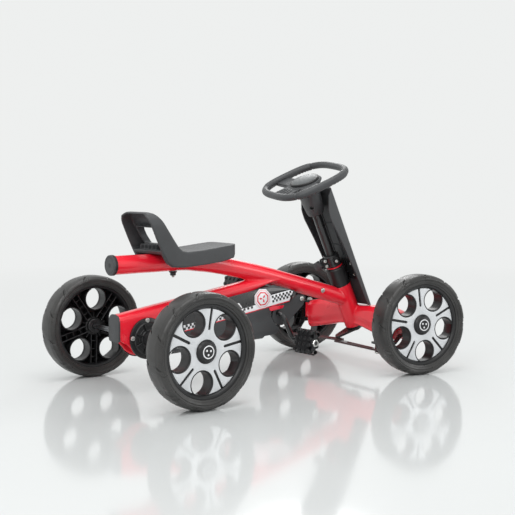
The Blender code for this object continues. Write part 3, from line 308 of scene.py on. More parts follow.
def plate(outlines, low, high, axis="Y", edge=0.0006):
    """Flat outlines, the first outside and the rest holes, as a plate with rounded edges."""
    curve = bpy.data.curves.new("outline", 'CURVE')
    curve.dimensions = '2D'
    curve.fill_mode = 'BOTH'
    curve.extrude = (high - low) / 2 - edge
    curve.bevel_depth = edge
    curve.offset = -edge
    curve.bevel_resolution = 1
    for outline in outlines:
        spline = curve.splines.new('POLY')
        spline.points.add(len(outline) - 1)
        for point, (a, b) in zip(spline.points, outline):
            point.co = (a, b, 0, 1)
        spline.use_cyclic_u = True
    piece = bpy.data.objects.new("outline", curve)
    bpy.context.scene.collection.objects.link(piece)
    mesh = evaluated(piece)
    bpy.data.curves.remove(curve)
    middle = (low + high) / 2
    turns = {"Y": lambda a, b, c: (a, middle - c, b), "X": lambda a, b, c: (middle + c, a, b),
             "Z": lambda a, b, c: (a, b, middle + c)}
    for vert in mesh.vertices:
        vert.co = turns[axis](*vert.co)
    bm = bmesh.new()
    bm.from_mesh(mesh)
    return mesh_of(bm)


def block(low, high, edge=0.001, segments=2):
    """Box between two corners with rounded edges."""
    bm = bmesh.new()
    bmesh.ops.create_cube(bm, size=1.0)
    size = [high[i] - low[i] for i in range(3)]
    bmesh.ops.scale(bm, vec=size, verts=bm.verts)
    bmesh.ops.translate(bm, vec=[(high[i] + low[i]) / 2 for i in range(3)], verts=bm.verts)
    if edge:
        bmesh.ops.bevel(bm, geom=list(bm.edges), offset=edge, segments=segments, affect='EDGES')
    return mesh_of(bm)


def boolean(mesh, others, operation='DIFFERENCE'):
    piece = helper(mesh)
    tools = []
    for other in others:
        tool = helper(other)
        tools.append(tool)
        step = piece.modifiers.new("step", 'BOOLEAN')
        step.operation = operation
        step.object = tool
    result = evaluated(piece)
    for tool in tools:
        bpy.data.objects.remove(tool, do_unlink=True)
    return result


def moulded(mesh, voxel, rounds, factor=0.5):
    """One soft-edged skin over overlapping shells, as a moulding or a ground weld has."""
    piece = helper(mesh)
    remesh = piece.modifiers.new("skin", 'REMESH')
    remesh.mode = 'VOXEL'
    remesh.voxel_size = voxel
    smooth = piece.modifiers.new("ease", 'SMOOTH')
    smooth.iterations = rounds
    smooth.factor = factor
    return evaluated(piece)


def bevelled(node, edge=0.0006):
    """Copy of a CAD node's mesh with its sharp edges rounded."""
    mesh = frame["nodes"][node].data.copy()
    bm = bmesh.new()
    bm.from_mesh(mesh)
    bmesh.ops.remove_doubles(bm, verts=bm.verts, dist=0.00001)
    bmesh.ops.dissolve_limit(bm, angle_limit=radians(1.0), verts=bm.verts, edges=bm.edges)
    sharp = [e for e in bm.edges if len(e.link_faces) == 2 and e.calc_face_angle() > radians(40)]
    bmesh.ops.bevel(bm, geom=sharp, offset=edge, segments=2, affect='EDGES', clamp_overlap=True)
    return mesh_of(bm)


def arc(centre, radius, start, end, count):
    """Points of an arc, angles in degrees."""
    return [(centre[0] + radius * cos(radians(start + (end - start) * k / (count - 1))),
             centre[1] + radius * sin(radians(start + (end - start) * k / (count - 1))))
            for k in range(count)]


def through(points, steps):
    """Points on a smooth curve through points."""
    points = [Vector(p) for p in points]
    padded = [2 * points[0] - points[1], *points, 2 * points[-1] - points[-2]]
    out = []
    for i in range(1, len(padded) - 2):
        a, b, c, d = padded[i - 1:i + 3]
        for k in range(steps):
            t = k / steps
            out.append(0.5 * (2 * b + (c - a) * t + (2 * a - 5 * b + 4 * c - d) * t ** 2
                              + (3 * b - a - 3 * c + d) * t ** 3))
    out.append(points[-1])
    return out


def between(table, x):
    """Value at x of a table of (x, value) points in rising x."""
    for (x0, v0), (x1, v1) in zip(table, table[1:]):
        if x <= x1:
            share = min(max((x - x0) / (x1 - x0), 0), 1)
            return v0 + (v1 - v0) * share
    return table[-1][1]


def bolt(matrix, head=0.0055, height=0.0035, name="bolt", body="chassis", replaces=(), material=None):
    """Domed hexagon-socket bolt head, its axis along Z."""
    socket = head * 0.42
    profile = [(0, height * 0.45), (socket, height * 0.45), (socket, height * 0.98), (head * 0.60, height),
               (head * 0.86, height * 0.80), (head, height * 0.42), (head, 0), (0, 0)]
    return show(name, turned(profile, 32, matrix), material or ZINC, body, replaces, 30)


def facing(place, direction):
    """Frame at place whose Z points in direction."""
    z_axis = Vector(direction).normalized()
    matrix = z_axis.to_track_quat('Z', 'Y').to_matrix().to_4x4()
    matrix.translation = Vector(place)
    return matrix


# ---------------------------------------------------------------- camera, floor, light
CAMERA_AZIMUTH = radians(-37.80)
CAMERA_ELEVATION = radians(4.278)
CAMERA_DISTANCE = 2.2866
CAMERA_TARGET = Vector((MIDDLE_X, 0, 0.2664))
CAMERA_LENS = 70.78
BACKGROUND = (0.855, 0.868, 0.862)


def build_stage():
    back = Vector((sin(CAMERA_AZIMUTH) * cos(CAMERA_ELEVATION), -cos(CAMERA_AZIMUTH) * cos(CAMERA_ELEVATION),
                   sin(CAMERA_ELEVATION)))
    camera = bpy.data.objects.new("camera", bpy.data.cameras.new("camera"))
    bpy.context.scene.collection.objects.link(camera)
    camera.location = CAMERA_TARGET + back * CAMERA_DISTANCE
    camera.rotation_euler = back.to_track_quat('Z', 'Y').to_euler()
    camera.data.lens = CAMERA_LENS
    bpy.context.scene.camera = camera
    bpy.context.scene.view_settings.view_transform = 'Standard'

    world = bpy.data.worlds.new("studio")
    bpy.context.scene.world = world
    world.use_nodes = True
    world.node_tree.nodes["Background"].inputs["Color"].default_value = (*BACKGROUND, 1)

    bm = bmesh.new()
    bmesh.ops.create_circle(bm, cap_ends=True, radius=30.0, segments=96)
    floor = bpy.data.objects.new("studio_floor", mesh_of(bm))
    bpy.context.scene.collection.objects.link(floor)
    floor.data.materials.append(floor_material())

    softboxes = (("overhead", (-0.2, -0.3, 2.3), 1.8, 18.0), ("window", (-1.7, -1.2, 1.6), 1.1, 13.0),
                 ("rim", (1.5, 1.6, 1.5), 0.9, 8.0), ("front", (1.6, -1.7, 0.9), 0.8, 5.0))
    for name, place, size, power in softboxes:
        light = bpy.data.lights.new(name, 'AREA')
        light.shape = 'DISK'
        light.size = size
        light.energy = power
        lamp = bpy.data.objects.new(name, light)
        bpy.context.scene.collection.objects.link(lamp)
        lamp.location = place
        lamp.rotation_euler = (Vector(place) - CAMERA_TARGET).to_track_quat('Z', 'Y').to_euler()


def floor_material():
    """Pale gloss floor that fades into the background away from the kart."""
    material = bpy.data.materials.new("studio_floor")
    material.use_nodes = True
    tree = material.node_tree
    shader = tree.nodes["Principled BSDF"]
    shader.inputs["Base Color"].default_value = (0.66, 0.675, 0.675, 1)
    place = new_node(tree, "ShaderNodeTexCoord").outputs["Object"]
    tree.links.new(spread(tree, noise(tree, place, 6.0, 3.0), 0.07, 0.12), shader.inputs["Roughness"])
    length = new_node(tree, "ShaderNodeVectorMath", operation='LENGTH')
    tree.links.new(place, length.inputs[0])
    fade = spread(tree, length.outputs["Value"], 0.0, 1.0, 0.7, 3.2)
    glow = new_node(tree, "ShaderNodeEmission")
    glow.inputs["Color"].default_value = (*BACKGROUND, 1)
    mix = new_node(tree, "ShaderNodeMixShader")
    tree.links.new(fade, mix.inputs[0])
    tree.links.new(shader.outputs[0], mix.inputs[1])
    tree.links.new(glow.outputs[0], mix.inputs[2])
    tree.links.new(mix.outputs[0], tree.nodes["Material Output"].inputs["Surface"])
    return material


# ---------------------------------------------------------------- welded frame
TUBE_LOW, TUBE_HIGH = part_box("main_tube")
TUBE_RADIUS = 0.0195
TUBE_Z = TUBE_HIGH.z - TUBE_RADIUS
TUBE_REAR = TUBE_LOW.x - MIDDLE_X
ARM_LOW, ARM_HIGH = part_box("rear_arm")
ARM_HALF = ARM_HIGH.y
ARM_REAR = ARM_LOW.x - MIDDLE_X
ARM_TOP_AT_AXLE = 0.1757
ARM_SLOPE = 0.152
HOUSING_RADIUS = (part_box("bearing_housing_right")[1].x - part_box("bearing_housing_right")[0].x) / 2


def arm_top(x):
    return ARM_TOP_AT_AXLE + ARM_SLOPE * (x - REAR_X)


def tube_line():
    """Seat rail at the rear, then a gentle bend down to the head tube."""
    knots = [(TUBE_REAR, TUBE_Z), (-0.30, TUBE_Z), (-0.205, TUBE_Z), (-0.165, TUBE_Z - 0.004),
             (-0.12, TUBE_Z - 0.0105), (-0.055, TUBE_Z - 0.024), (0.0, TUBE_Z - 0.037),
             (0.07, TUBE_Z - 0.0555)]
    end_x = COLUMN_X - 0.020
    knots.append((end_x, TUBE_Z - 0.0555 - (end_x - 0.07) * tan(radians(15.7))))
    return through([(x, 0, z) for x, z in knots], 6)


def arm_sections():
    """Cross sections of the rear arm: an inverted channel with a round top."""
    under = [(ARM_REAR, AXLE_Z - 0.001), (-0.347, 0.1010), (-0.337, 0.0870), (-0.322, 0.0765),
             (REAR_X, AXLE_Z - HOUSING_RADIUS + 0.001), (-0.286, 0.0765), (-0.271, 0.0870), (-0.260, 0.1010),
             (-0.244, 0.1230), (-0.205, 0.1430), (-0.160, 0.1576), (-0.090, 0.1762), (0.020, 0.2080),
             (0.050, 0.2150)]
    radius = 0.0165
    wall = 0.0036
    rows = []
    count = 68
    for i in range(count + 1):
        x = ARM_REAR + (0.050 - ARM_REAR) * i / count
        top = arm_top(x)
        low = between(under, x)
        inner = ARM_HALF - wall
        crown = arc((ARM_HALF - radius, top - radius), radius, 0, 90, 7)
        outer = [(ARM_HALF, low)] + crown + [(-y, z) for y, z in crown[::-1]] + [(-ARM_HALF, low)]
        crown = arc((inner - radius + wall, top - radius), radius - wall, 90, 0, 7)
        ceiling = [(-inner, low)] + [(-y, z) for y, z in crown[::-1]] + crown + [(inner, low)]
        rows.append([(x, y, z) for y, z in outer + ceiling])
    return rows


def beam_sections():
    """Pressed front beam: tall ends, a waist in the middle and a fold along each face."""
    top = [(0.0, 0.1375), (0.030, 0.1385), (0.070, 0.1410), (0.120, 0.1405), (0.150, 0.1345), (0.158, 0.1310)]
    bottom = [(0.0, 0.0930), (0.035, 0.0905), (0.075, 0.0815), (0.120, 0.0725), (0.144, 0.0680),
              (0.149, 0.0710),
              (0.158, 0.1040)]
    fold = [(0.0, 0.1110), (0.040, 0.1085), (0.090, 0.1000), (0.140, 0.0930), (0.158, 0.0930)]
    depth = [(0.0, 0.0240), (0.035, 0.0245), (0.090, 0.0285), (0.135, 0.0290), (0.158, 0.0250)]
    crease = [(0.0, 0.1010), (0.050, 0.0960), (0.100, 0.0860), (0.158, 0.0800)]
    rows = []
    inner = [0.152 * i / 44 for i in range(-44, 45)]
    ends = [(0.1550, 0.96), (0.1568, 0.86), (0.1578, 0.70)]
    stations = [(-y, share) for y, share in ends[::-1]] + [(y, 1.0) for y in inner] + ends
    for y, share in stations:
        high, low = between(top, abs(y)), between(bottom, abs(y))
        ridge, half, groove = between(fold, abs(y)), between(depth, abs(y)), between(crease, abs(y))
        groove = max(groove, low + 0.0065)
        ridge = max(ridge, groove + 0.0050)
        section = [(half * 0.62, high), (half * 0.90, high - 0.010), (half, ridge + 0.004),
                   (half * 0.88, groove), (half * 0.94, groove - 0.005), (half * 0.80, low)]
        ring = section + [(-x, z) for x, z in section[::-1]]
        rows.append([(FRONT_X + x * share, y, ridge + (z - ridge) * share) for x, z in ring])
    return rows


def build_frame():
    shells = [sweep(tube_line(), TUBE_RADIUS, 40)]
    shells.append(mesh_of(grid(arm_sections(), caps=True)))
    shells.append(mesh_of(grid(beam_sections(), caps=True)))
    head_low, head_high = -0.026, 0.085
    column = KART.inverted() @ COLUMN
    shells.append(turned([(0.0158, head_high), (0.0230, head_high), (0.0235, head_low), (0.0158, head_low)],
                         56, column, closed=True))
    for _, sign in SIDES:
        y = KINGPIN["left"].y * sign
        near, far = sorted((sign * 0.140, y))
        shells.append(turned([(0.0048, 0.1275), (0.0110, 0.1275), (0.0110, 0.0885), (0.0048, 0.0885)], 40,
                             Matrix.Translation((FRONT_X, y, 0)), closed=True))
        shells.append(block((FRONT_X - 0.010, near, 0.0915), (FRONT_X + 0.010, far, 0.125), 0.002))
    skin = moulded(joined(shells), 0.0016, 6)
    placed(skin, KART)
    show("frame_weldment", skin, RED, "chassis", ("main_tube", "rear_arm", "head_tube", "front_beam"), 60)


def build_frame_fittings():
    cap = facing((TUBE_REAR + MIDDLE_X - 0.0003, 0, TUBE_Z), (-1, 0, 0))
    radius = TUBE_RADIUS + 0.0015
    profile = [(0, 0.0015), (0.0030, 0.0015), (0.0034, 0.0040), (radius - 0.0055, 0.0040),
               (radius - 0.0050, 0.0034),
               (radius - 0.0042, 0.0034), (radius - 0.0037, 0.0040), (radius - 0.0012, 0.0040),
               (radius, 0.0028), (radius, -0.0002), (radius - 0.001, -0.0042), (0, -0.0042)]
    show("tube_cap", turned(profile, 72, cap), GREY, "chassis", ("tube_end_cap",), 30)
    collar = [(radius - 0.0040, -0.0002), (radius + 0.0003, -0.0004), (radius + 0.0003, -0.0040),
              (radius - 0.0004, -0.0050), (TUBE_RADIUS + 0.0002, -0.0050), (TUBE_RADIUS + 0.0002, -0.0010)]
    show("tube_cap_collar", turned(collar, 72, cap, closed=True), BLACK, "chassis", (), 30)
    plug = turned([(0, 0.0042), (0.0044, 0.0042), (0.0050, 0.0036), (0.0050, 0.0010), (0, 0.0010)], 32, cap)
    show("tube_cap_plug", plug, BLACK, "chassis", (), 30)
    low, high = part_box("arm_end_cover")
    half = high.y
    corner = 0.0165
    outline = arc((half - corner, high.z - corner), corner, 0, 90, 9)
    outline += arc((-half + corner, high.z - corner), corner, 90, 180, 9)
    outline += arc((-half + 0.006, low.z + 0.006), 0.006, 180, 270, 5)
    outline += arc((half - 0.006, low.z + 0.006), 0.006, 270, 360, 5)
    show("arm_cover", plate([outline], low.x, high.x + 0.0002, "X", 0.0014), GREY, "chassis",
         ("arm_end_cover",))
    for side, sign in SIDES:
        spot = facing((REAR.x, sign * (ARM_HALF + 0.0003), AXLE_Z), (0, sign, 0))
        r = HOUSING_RADIUS
        profile = [(0.0066, 0.0180), (0.0105, 0.0180), (0.0110, 0.0165), (0.0135, 0.0165), (0.0140, 0.0178),
                   (0.0158, 0.0170), (0.0175, 0.0095), (0.0190, 0.0082), (0.0230, 0.0082), (0.0238, 0.0072),
                   (0.0262, 0.0072), (0.0270, 0.0082), (0.0330, 0.0080), (0.0345, 0.0062),
                   (r - 0.0045, 0.0056),
                   (r - 0.0008, 0.0042), (r, 0.0030), (r, 0.0), (0.0066, 0.0)]
        ribs = [placed(block((0.0165, -0.0011, 0.0050), (0.0335, 0.0011, 0.0112), 0.0004, 1),
                       spot @ Matrix.Rotation(2 * pi * (k + 0.5) / 8, 4, 'Z')) for k in range(8)]
        body = joined([turned(profile, 80, spot, closed=True)] + ribs)
        show("housing_" + side, body, BLACK, "chassis", ("bearing_housing_" + side,), 30)
        for k, angle in enumerate((175, 95, -5, -85)):
            place = spot @ Vector((0.0382 * cos(radians(angle)), 0.0382 * sin(radians(angle)) * -sign,
                                   0.0048))
            bolt(facing(place, (0, sign, 0)), 0.0050, 0.0032, f"housing_bolt_{side}_{k + 1}")
    low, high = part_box("frame_bolt")
    bolt(facing(((low.x + high.x) / 2, high.y, (low.z + high.z) / 2), (0, -1, 0)), 0.0058, 0.0036,
         "tube_bolt", replaces=("frame_bolt",))
    low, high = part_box("bracket_bolt")
    bolt(facing(((low.x + high.x) / 2, high.y, (low.z + high.z) / 2), (0, -1, 0)), 0.0058, 0.0036,
         "yoke_bolt", replaces=("bracket_bolt",))
    show("crank_yoke", bevelled("crank_bracket", 0.0012), GREY, "chassis", ("crank_bracket",))


# ---------------------------------------------------------------- chain guards and label
GUARD_OUT = 0.034


def build_guards():
    for side, sign in SIDES:
        near, far = sorted((sign * GUARD_OUT, sign * (GUARD_OUT - 0.0022)))
        rear_x = REAR_X + 0.058
        outline = [(x, arm_top(x) - 0.0195) for x in (rear_x, -0.10, -0.03)]
        outline += [(0.019, 0.2055), (0.081, 0.1895), (0.070, 0.1640), (0.022, 0.1560)]
        outline += arc((CRANK.x - MIDDLE_X, CRANK.z), 0.0245, 130, 215, 9)
        outline += arc((0.026, 0.1035), 0.009, 20, -70, 5)
        outline += [(0.010, 0.0925), (-0.036, 0.0905), (-0.10, 0.0885), (rear_x + 0.004, 0.0825)]
        outline += arc((rear_x + 0.003, 0.0870), 0.005, 250, 180, 4)
        skin = placed(plate([outline], near, far, "Y", 0.0008), KART)
        lip = sweep([(-0.238, sign * 0.0170, 0.0828), (-0.10, sign * 0.0170, 0.0892),
                     (0.010, sign * 0.0170, 0.0930)], 0.0010, 8, flatten=15.5)
        placed(lip, KART)
        ribs = []
        for k in range(3):
            shift = 0.010 * k
            line = [(-0.215, sign * (GUARD_OUT + 0.0001), 0.0905 + shift),
                    (-0.100, sign * (GUARD_OUT + 0.0001), 0.0960 + shift),
                    (-0.045, sign * (GUARD_OUT + 0.0001), 0.0985 + shift)]
            ribs.append(placed(sweep(line, 0.0005, 8), KART))
        show("guard_" + side, joined([skin, lip] + ribs), GREY, "chassis", ("chain_guard_" + side,), 30)


def sticker_layer(name, outline, layer, material, replaces=()):
    face = -GUARD_OUT - 0.0002 - 0.00022 * layer
    mesh = placed(plate([outline], face - 0.0002, face, "Y", 0.00004), KART)
    return show(name, mesh, material, "chassis", replaces, 30)


def checks(origin, along, up, columns, rows, size):
    """Squares of a chequered band, as one mesh per band."""
    squares = []
    for i in range(columns):
        for j in range(rows):
            if (i + j) % 2:
                continue
            a = origin + along * size * i + up * size * j
            squares.append([a, a + along * size, a + along * size + up * size, a + up * size])
    return squares


def build_label():
    slope = ARM_SLOPE
    along = Vector((1, slope)).normalized()
    up = Vector((-along.y, along.x))

    def on_band(distance, height):
        """Point of the label, measured along the band from below the badge and across it."""
        start = Vector((-0.013, 0.1555))
        return start + along * distance + up * height

    def quad(a, b, low, high, lean=0.0):
        return [on_band(a, low), on_band(b, low), on_band(b + lean, high), on_band(a + lean, high)]

    tip = on_band(0.096, 0.0205)
    back = [on_band(-0.228, -0.002), on_band(0.010, -0.002), on_band(0.082, -0.0035), on_band(0.088, 0.002),
            tip,
            on_band(0.078, 0.0265), on_band(0.034, 0.0400), on_band(-0.030, 0.0425), on_band(-0.228, 0.0425)]
    sticker_layer("label_ground", back, 0, LABEL_BLACK, ("sticker_right",))
    white = [on_band(-0.226, 0.0), on_band(0.079, 0.0), on_band(0.093, 0.0185), on_band(0.083, 0.0235),
             on_band(0.030, 0.0235), on_band(-0.004, 0.0115), on_band(-0.226, 0.0115)]
    sticker_layer("label_white_band", white, 1, WHITE)
    line = quad(-0.226, 0.079, -0.0022, 0.0)
    sticker_layer("label_red_line", line, 1, LABEL_RED)
    chevrons = []
    for k in range(4):
        a = -0.104 + 0.0115 * k
        chevrons.append([on_band(a, 0.0040), on_band(a + 0.0075, 0.0040), on_band(a + 0.0145, 0.0150),
                         on_band(a + 0.0075, 0.0260), on_band(a, 0.0260), on_band(a + 0.0070, 0.0150)])
    for k, outline in enumerate(chevrons):
        sticker_layer(f"label_chevron_{k + 1}", outline, 2, WHITE if k % 2 else LABEL_RED)
    size = 0.0052
    groups = {"front": (on_band(0.030, 0.0060), 11, 3), "middle": (on_band(-0.052, 0.0060), 5, 3),
              "rear": (on_band(-0.150, 0.0010), 9, 2), "far": (on_band(-0.212, 0.0010), 9, 2)}
    for name, (origin, columns, rows) in groups.items():
        meshes = [placed(plate([square], -GUARD_OUT - 0.0010, -GUARD_OUT - 0.0008, "Y", 0.00003), KART)
                  for square in checks(origin, along, up, columns, rows, size)]
        show("label_checks_" + name, joined(meshes), LABEL_BLACK, "chassis", (), 30)
    centre = Vector((-0.013, 0.1770))
    rings = ((0.0230, WHITE), (0.0205, LABEL_PINK), (0.0188, WHITE), (0.0160, LABEL_RED), (0.0128, WHITE))
    for k, (radius, material) in enumerate(rings):
        outline = []
        for j in range(8):
            angle = radians(22.5 + 45 * j)
            reach = radius * (1.06 if j in (2, 5) else 1.0)
            outline.append(centre + Vector((reach * 1.06 * cos(angle), reach * 0.98 * sin(angle))))
        sticker_layer(f"badge_ring_{k + 1}", outline, 5 + k, material)
    for k, turn in enumerate((35, 155, 275)):
        blade = [(0.0, 0.0010), (0.0060, 0.0046), (0.0096, 0.0026), (0.0060, -0.0006)]
        spin = Matrix.Rotation(radians(turn), 2)
        sticker_layer(f"badge_blade_{k + 1}", [centre + spin @ Vector(p) for p in blade], 10, LABEL_RED)
    nose = [(0.0065, 0.1585), (0.0500, 0.1575), (0.0455, 0.1515), (0.0120, 0.1470), (0.0075, 0.1500)]
    sticker_layer("label_nose", nose, 1, LABEL_RED)


# ---------------------------------------------------------------- drive
CHAIN_PITCH = 0.0103
TEETH_FRONT = 22
TEETH_REAR = 12


def pitch_radius(teeth):
    return CHAIN_PITCH / (2 * sin(pi / teeth))


def chain_line():
    """Points of the chain's loop at even steps of one pitch."""
    crank, axle = Vector((CRANK.x, CRANK.z)), Vector((REAR.x, REAR.z))
    clear = 0.0054
    big, small = pitch_radius(TEETH_FRONT) + clear, pitch_radius(TEETH_REAR) + clear
    run = crank - axle
    tilt = atan2(run.y, run.x) * 180 / pi
    lean = acos((big - small) / run.length) * 180 / pi
    outline = arc(crank, big, tilt - lean, tilt + lean, 60) + arc(axle, small, tilt + lean,
                                                                  tilt + 360 - lean, 40)
    outline.append(outline[0])
    lengths = [0.0]
    for a, b in zip(outline, outline[1:]):
        lengths.append(lengths[-1] + (Vector(b) - Vector(a)).length)
    count = 2 * round(lengths[-1] / CHAIN_PITCH / 2)
    points = []
    i = 0
    for k in range(count):
        target = lengths[-1] * k / count
        while lengths[i + 1] < target:
            i += 1
        share = (target - lengths[i]) / (lengths[i + 1] - lengths[i])
        points.append(Vector(outline[i]).lerp(Vector(outline[i + 1]), share))
    return points


def build_chain():
    points = chain_line()
    meshes = []
    for k, here in enumerate(points):
        there = points[(k + 1) % len(points)]
        reach = (there - here).length
        angle = atan2(there.y - here.y, there.x - here.x)
        outer = k % 2 == 0
        r = 0.0027
        outline = arc((0, 0), r, 90, 270, 5) + [(reach / 2, -r * 0.72)] + arc((reach, 0), r, -90, 90, 5)
        outline.append((reach / 2, r * 0.72))
        for sign in (-1, 1):
            middle = sign * (0.0029 if outer else 0.0021)
            link = plate([outline], middle - 0.0003, middle + 0.0003, "Y", 0.00008)
            place = Matrix.Translation((here.x, 0, here.y)) @ Matrix.Rotation(-angle, 4, 'Y')
            meshes.append(placed(link, place))
        roller = turned([(0, 0.0031), (0.0017, 0.0031), (0.0017, -0.0031), (0, -0.0031)], 10,
                        facing((here.x, 0, here.y), (0, 1, 0)))
        meshes.append(roller)
    show("roller_chain", joined(meshes), DARK, "chassis", ("chain",), 30)


def sprocket(teeth, bore, hub, holes):
    pitch = pitch_radius(teeth)
    tip, root = pitch + 0.0010, pitch - 0.0020
    outline = []
    for k in range(teeth):
        for share, r in ((0.0, root), (0.18, root + 0.0004), (0.36, tip - 0.0005), (0.50, tip),
                         (0.64, tip - 0.0005), (0.82, root + 0.0004)):
            angle = 2 * pi * (k + share) / teeth
            outline.append((r * cos(angle), r * sin(angle)))
    inside = [arc((0, 0), bore, 0, 345, 24)]
    for k in range(holes):
        angle = 2 * pi * k / holes
        reach = (hub + root) / 2
        inside.append(arc((reach * cos(angle), reach * sin(angle)), (root - hub) * 0.30, 0, 340, 18))
    disc = plate([outline] + inside, -0.00125, 0.00125, "Y", 0.0003)
    ring = turned([(bore, 0.0034), (hub - 0.0006, 0.0034), (hub, 0.0028), (hub, -0.0028),
                   (hub - 0.0006, -0.0034),
                   (bore, -0.0034)], 40, facing((0, 0, 0), (0, 1, 0)), closed=True)
    return joined([disc, ring])


def build_drive():
    show("chainwheel", placed(sprocket(TEETH_FRONT, 0.0058, 0.0110, 5), Matrix.Translation(CRANK)), ZINC,
         "crank", ("front_sprocket",), 30)
    show("axle_sprocket", placed(sprocket(TEETH_REAR, 0.0063, 0.0092, 0), Matrix.Translation(REAR)), ZINC,
         "rear_drive", ("rear_sprocket",), 30)
    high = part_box("rear_axle")[1]
    shaft = facing((REAR.x, 0, REAR.z), (0, 1, 0))
    r, half = 0.006, high.y
    profile = [(0, half), (r - 0.001, half), (r, half - 0.001), (r, 0.060), (r - 0.0004, 0.0595),
               (r - 0.0004, 0.0575),
               (r, 0.057), (r, -0.057), (r - 0.0004, -0.0575), (r - 0.0004, -0.0595), (r, -0.060),
               (r, -half + 0.001), (r - 0.001, -half), (0, -half)]
    show("axle_shaft", turned(profile, 48, shaft), BRUSHED, "rear_drive", ("rear_axle",), 30)
    pedal = {side: joint_place(f"pedal_{side}_spin") for side, _ in SIDES}
    down = pedal["right"] - Vector((CRANK.x, pedal["right"].y, CRANK.z))
    side = Vector((0, 1, 0))
    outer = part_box("crank")[1].y
    arm_y, rise = 0.0415, 0.011
    half = [side * 0.0, side * (arm_y - rise), side * (arm_y - 0.003) - down * 0.06,
            side * arm_y - down * 0.18,
            side * arm_y - down * 0.84, side * (arm_y + 0.003) - down * 0.95, side * (arm_y + rise) - down,
            side * (outer - 0.001) - down]
    path = [-p for p in half[:0:-1]] + half
    points = [path[0]]
    for a, b, c in zip(path, path[1:], path[2:]):
        for share in (0.35, 0.65, 0.85):
            points.append(a.lerp(b, share))
        points.append(b * 0.90 + (a.lerp(b, 0.85) + b.lerp(c, 0.15)) * 0.05)
    points += [path[-2].lerp(path[-1], s) for s in (0.3, 0.7, 1.0)]
    show("crank_axle", sweep([CRANK + p for p in points], 0.0055, 24), DARK, "crank", ("crank",), 50)
    for name, sign in SIDES:
        build_pedal(name, pedal[name])
        washer = facing((pedal[name].x, sign * (outer - 0.0032), pedal[name].z), (0, sign, 0))
        nut = turned([(0.0056, 0.0032), (0.0078, 0.0032), (0.0088, 0.0020), (0.0088, 0.0), (0.0056, 0.0)], 6,
                     washer, closed=True)
        show(f"pedal_nut_{name}", nut, ZINC, "crank", (), 30)


PEDAL_TILT = 14     # degrees about the pedal's axle


def build_pedal(name, place):
    """Block pedal with rows of round studs on all four faces."""
    low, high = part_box("pedal_" + name)
    length, thick = 0.052, 0.026
    width = (high.y - low.y) - 0.004
    tilt = Matrix.Translation(place) @ Matrix.Rotation(radians(PEDAL_TILT), 4, 'Y')
    body = block((-thick / 2, -width / 2, -length / 2), (thick / 2, width / 2, length / 2), 0.0075, 4)
    collar = turned([(0.0062, width / 2 + 0.0018), (0.0105, width / 2 + 0.0018), (0.0115, width / 2 - 0.001),
                     (0.0115, -width / 2 + 0.001), (0.0105, -width / 2 - 0.0018),
                     (0.0062, -width / 2 - 0.0018)], 40,
                    facing((0, 0, 0), (0, 1, 0)), closed=True)
    studs = []
    rows = 4
    stud = [(0, 0.0022), (0.0028, 0.0021), (0.0042, 0.0014), (0.0048, 0.0), (0.0050, -0.002), (0, -0.002)]
    for face in range(4):
        flat = face % 2 == 0
        reach = (thick if flat else length) / 2
        across = (length if flat else thick)
        columns = 4 if flat else 2
        direction = Matrix.Rotation(face * pi / 2, 4, 'Y')
        for i in range(rows):
            for j in range(columns):
                y = (i - (rows - 1) / 2) * (width - 0.010) / (rows - 1)
                z = (j - (columns - 1) / 2) * (across - 0.012) / max(columns - 1, 1)
                if not flat:
                    z = (j - 0.5) * 0.010
                spot = direction @ facing((reach - 0.0002, y, z), (1, 0, 0))
                studs.append(turned(stud, 14, spot))
    for meshes, title, material in (([body, collar], "pedal_block_", BLACK), (studs, "pedal_studs_", BLACK)):
        mesh = placed(joined(meshes), tilt)
        show(title + name, mesh, material, "pedal_" + name, ("pedal_" + name,) if meshes[0] is body else (),
             40)


# ---------------------------------------------------------------- wheels
WHEEL_RADIUS = AXLE_Z
TYRE_HALF = 0.027
RIM_OUTER = 0.0923
COVER_RADIUS = 0.083
SPOKES = 5
HOLE_RADIUS = 0.0265
HOLE_CENTRE = 0.062
COVER_FACE = 0.0153
SPOKE_PHASE = {"front_right": radians(25.0), "rear_right": radians(8.5),
               "front_left": radians(40.0), "rear_left": radians(20.0)}


def tyre_profile():
    """Half of the tyre's section from bead to centre of the tread: (radius, height, groove depth)."""
    r, h = WHEEL_RADIUS, TYRE_HALF
    return [(RIM_OUTER - 0.0006, h - 0.0100, 0), (RIM_OUTER, h - 0.0066, 0),
            (RIM_OUTER + 0.0016, h - 0.0058, 0),
            (RIM_OUTER + 0.0034, h - 0.0050, 0), (RIM_OUTER + 0.0040, h - 0.0036, 0),
            (RIM_OUTER + 0.0052, h - 0.0030, 0), (RIM_OUTER + 0.0082, h - 0.0016, 0),
            (RIM_OUTER + 0.0088, h - 0.0022, 0), (RIM_OUTER + 0.0098, h - 0.0022, 0),
            (RIM_OUTER + 0.0104, h - 0.0014, 0), (r - 0.0095, h - 0.0004, 0), (r - 0.0080, h - 0.0010, 0),
            (r - 0.0074, h - 0.0020, 1), (r - 0.0050, h - 0.0034, 1), (r - 0.0026, h - 0.0056, 1),
            (r - 0.0020, h - 0.0068, 1), (r - 0.0014, h - 0.0092, 1), (r - 0.0008, h - 0.0125, 1),
            (r - 0.0003, h - 0.0150, 1), (r - 0.0002, h - 0.0162, 0.3), (r - 0.0001, h - 0.0200, 0),
            (r, h - 0.0235, 0)]


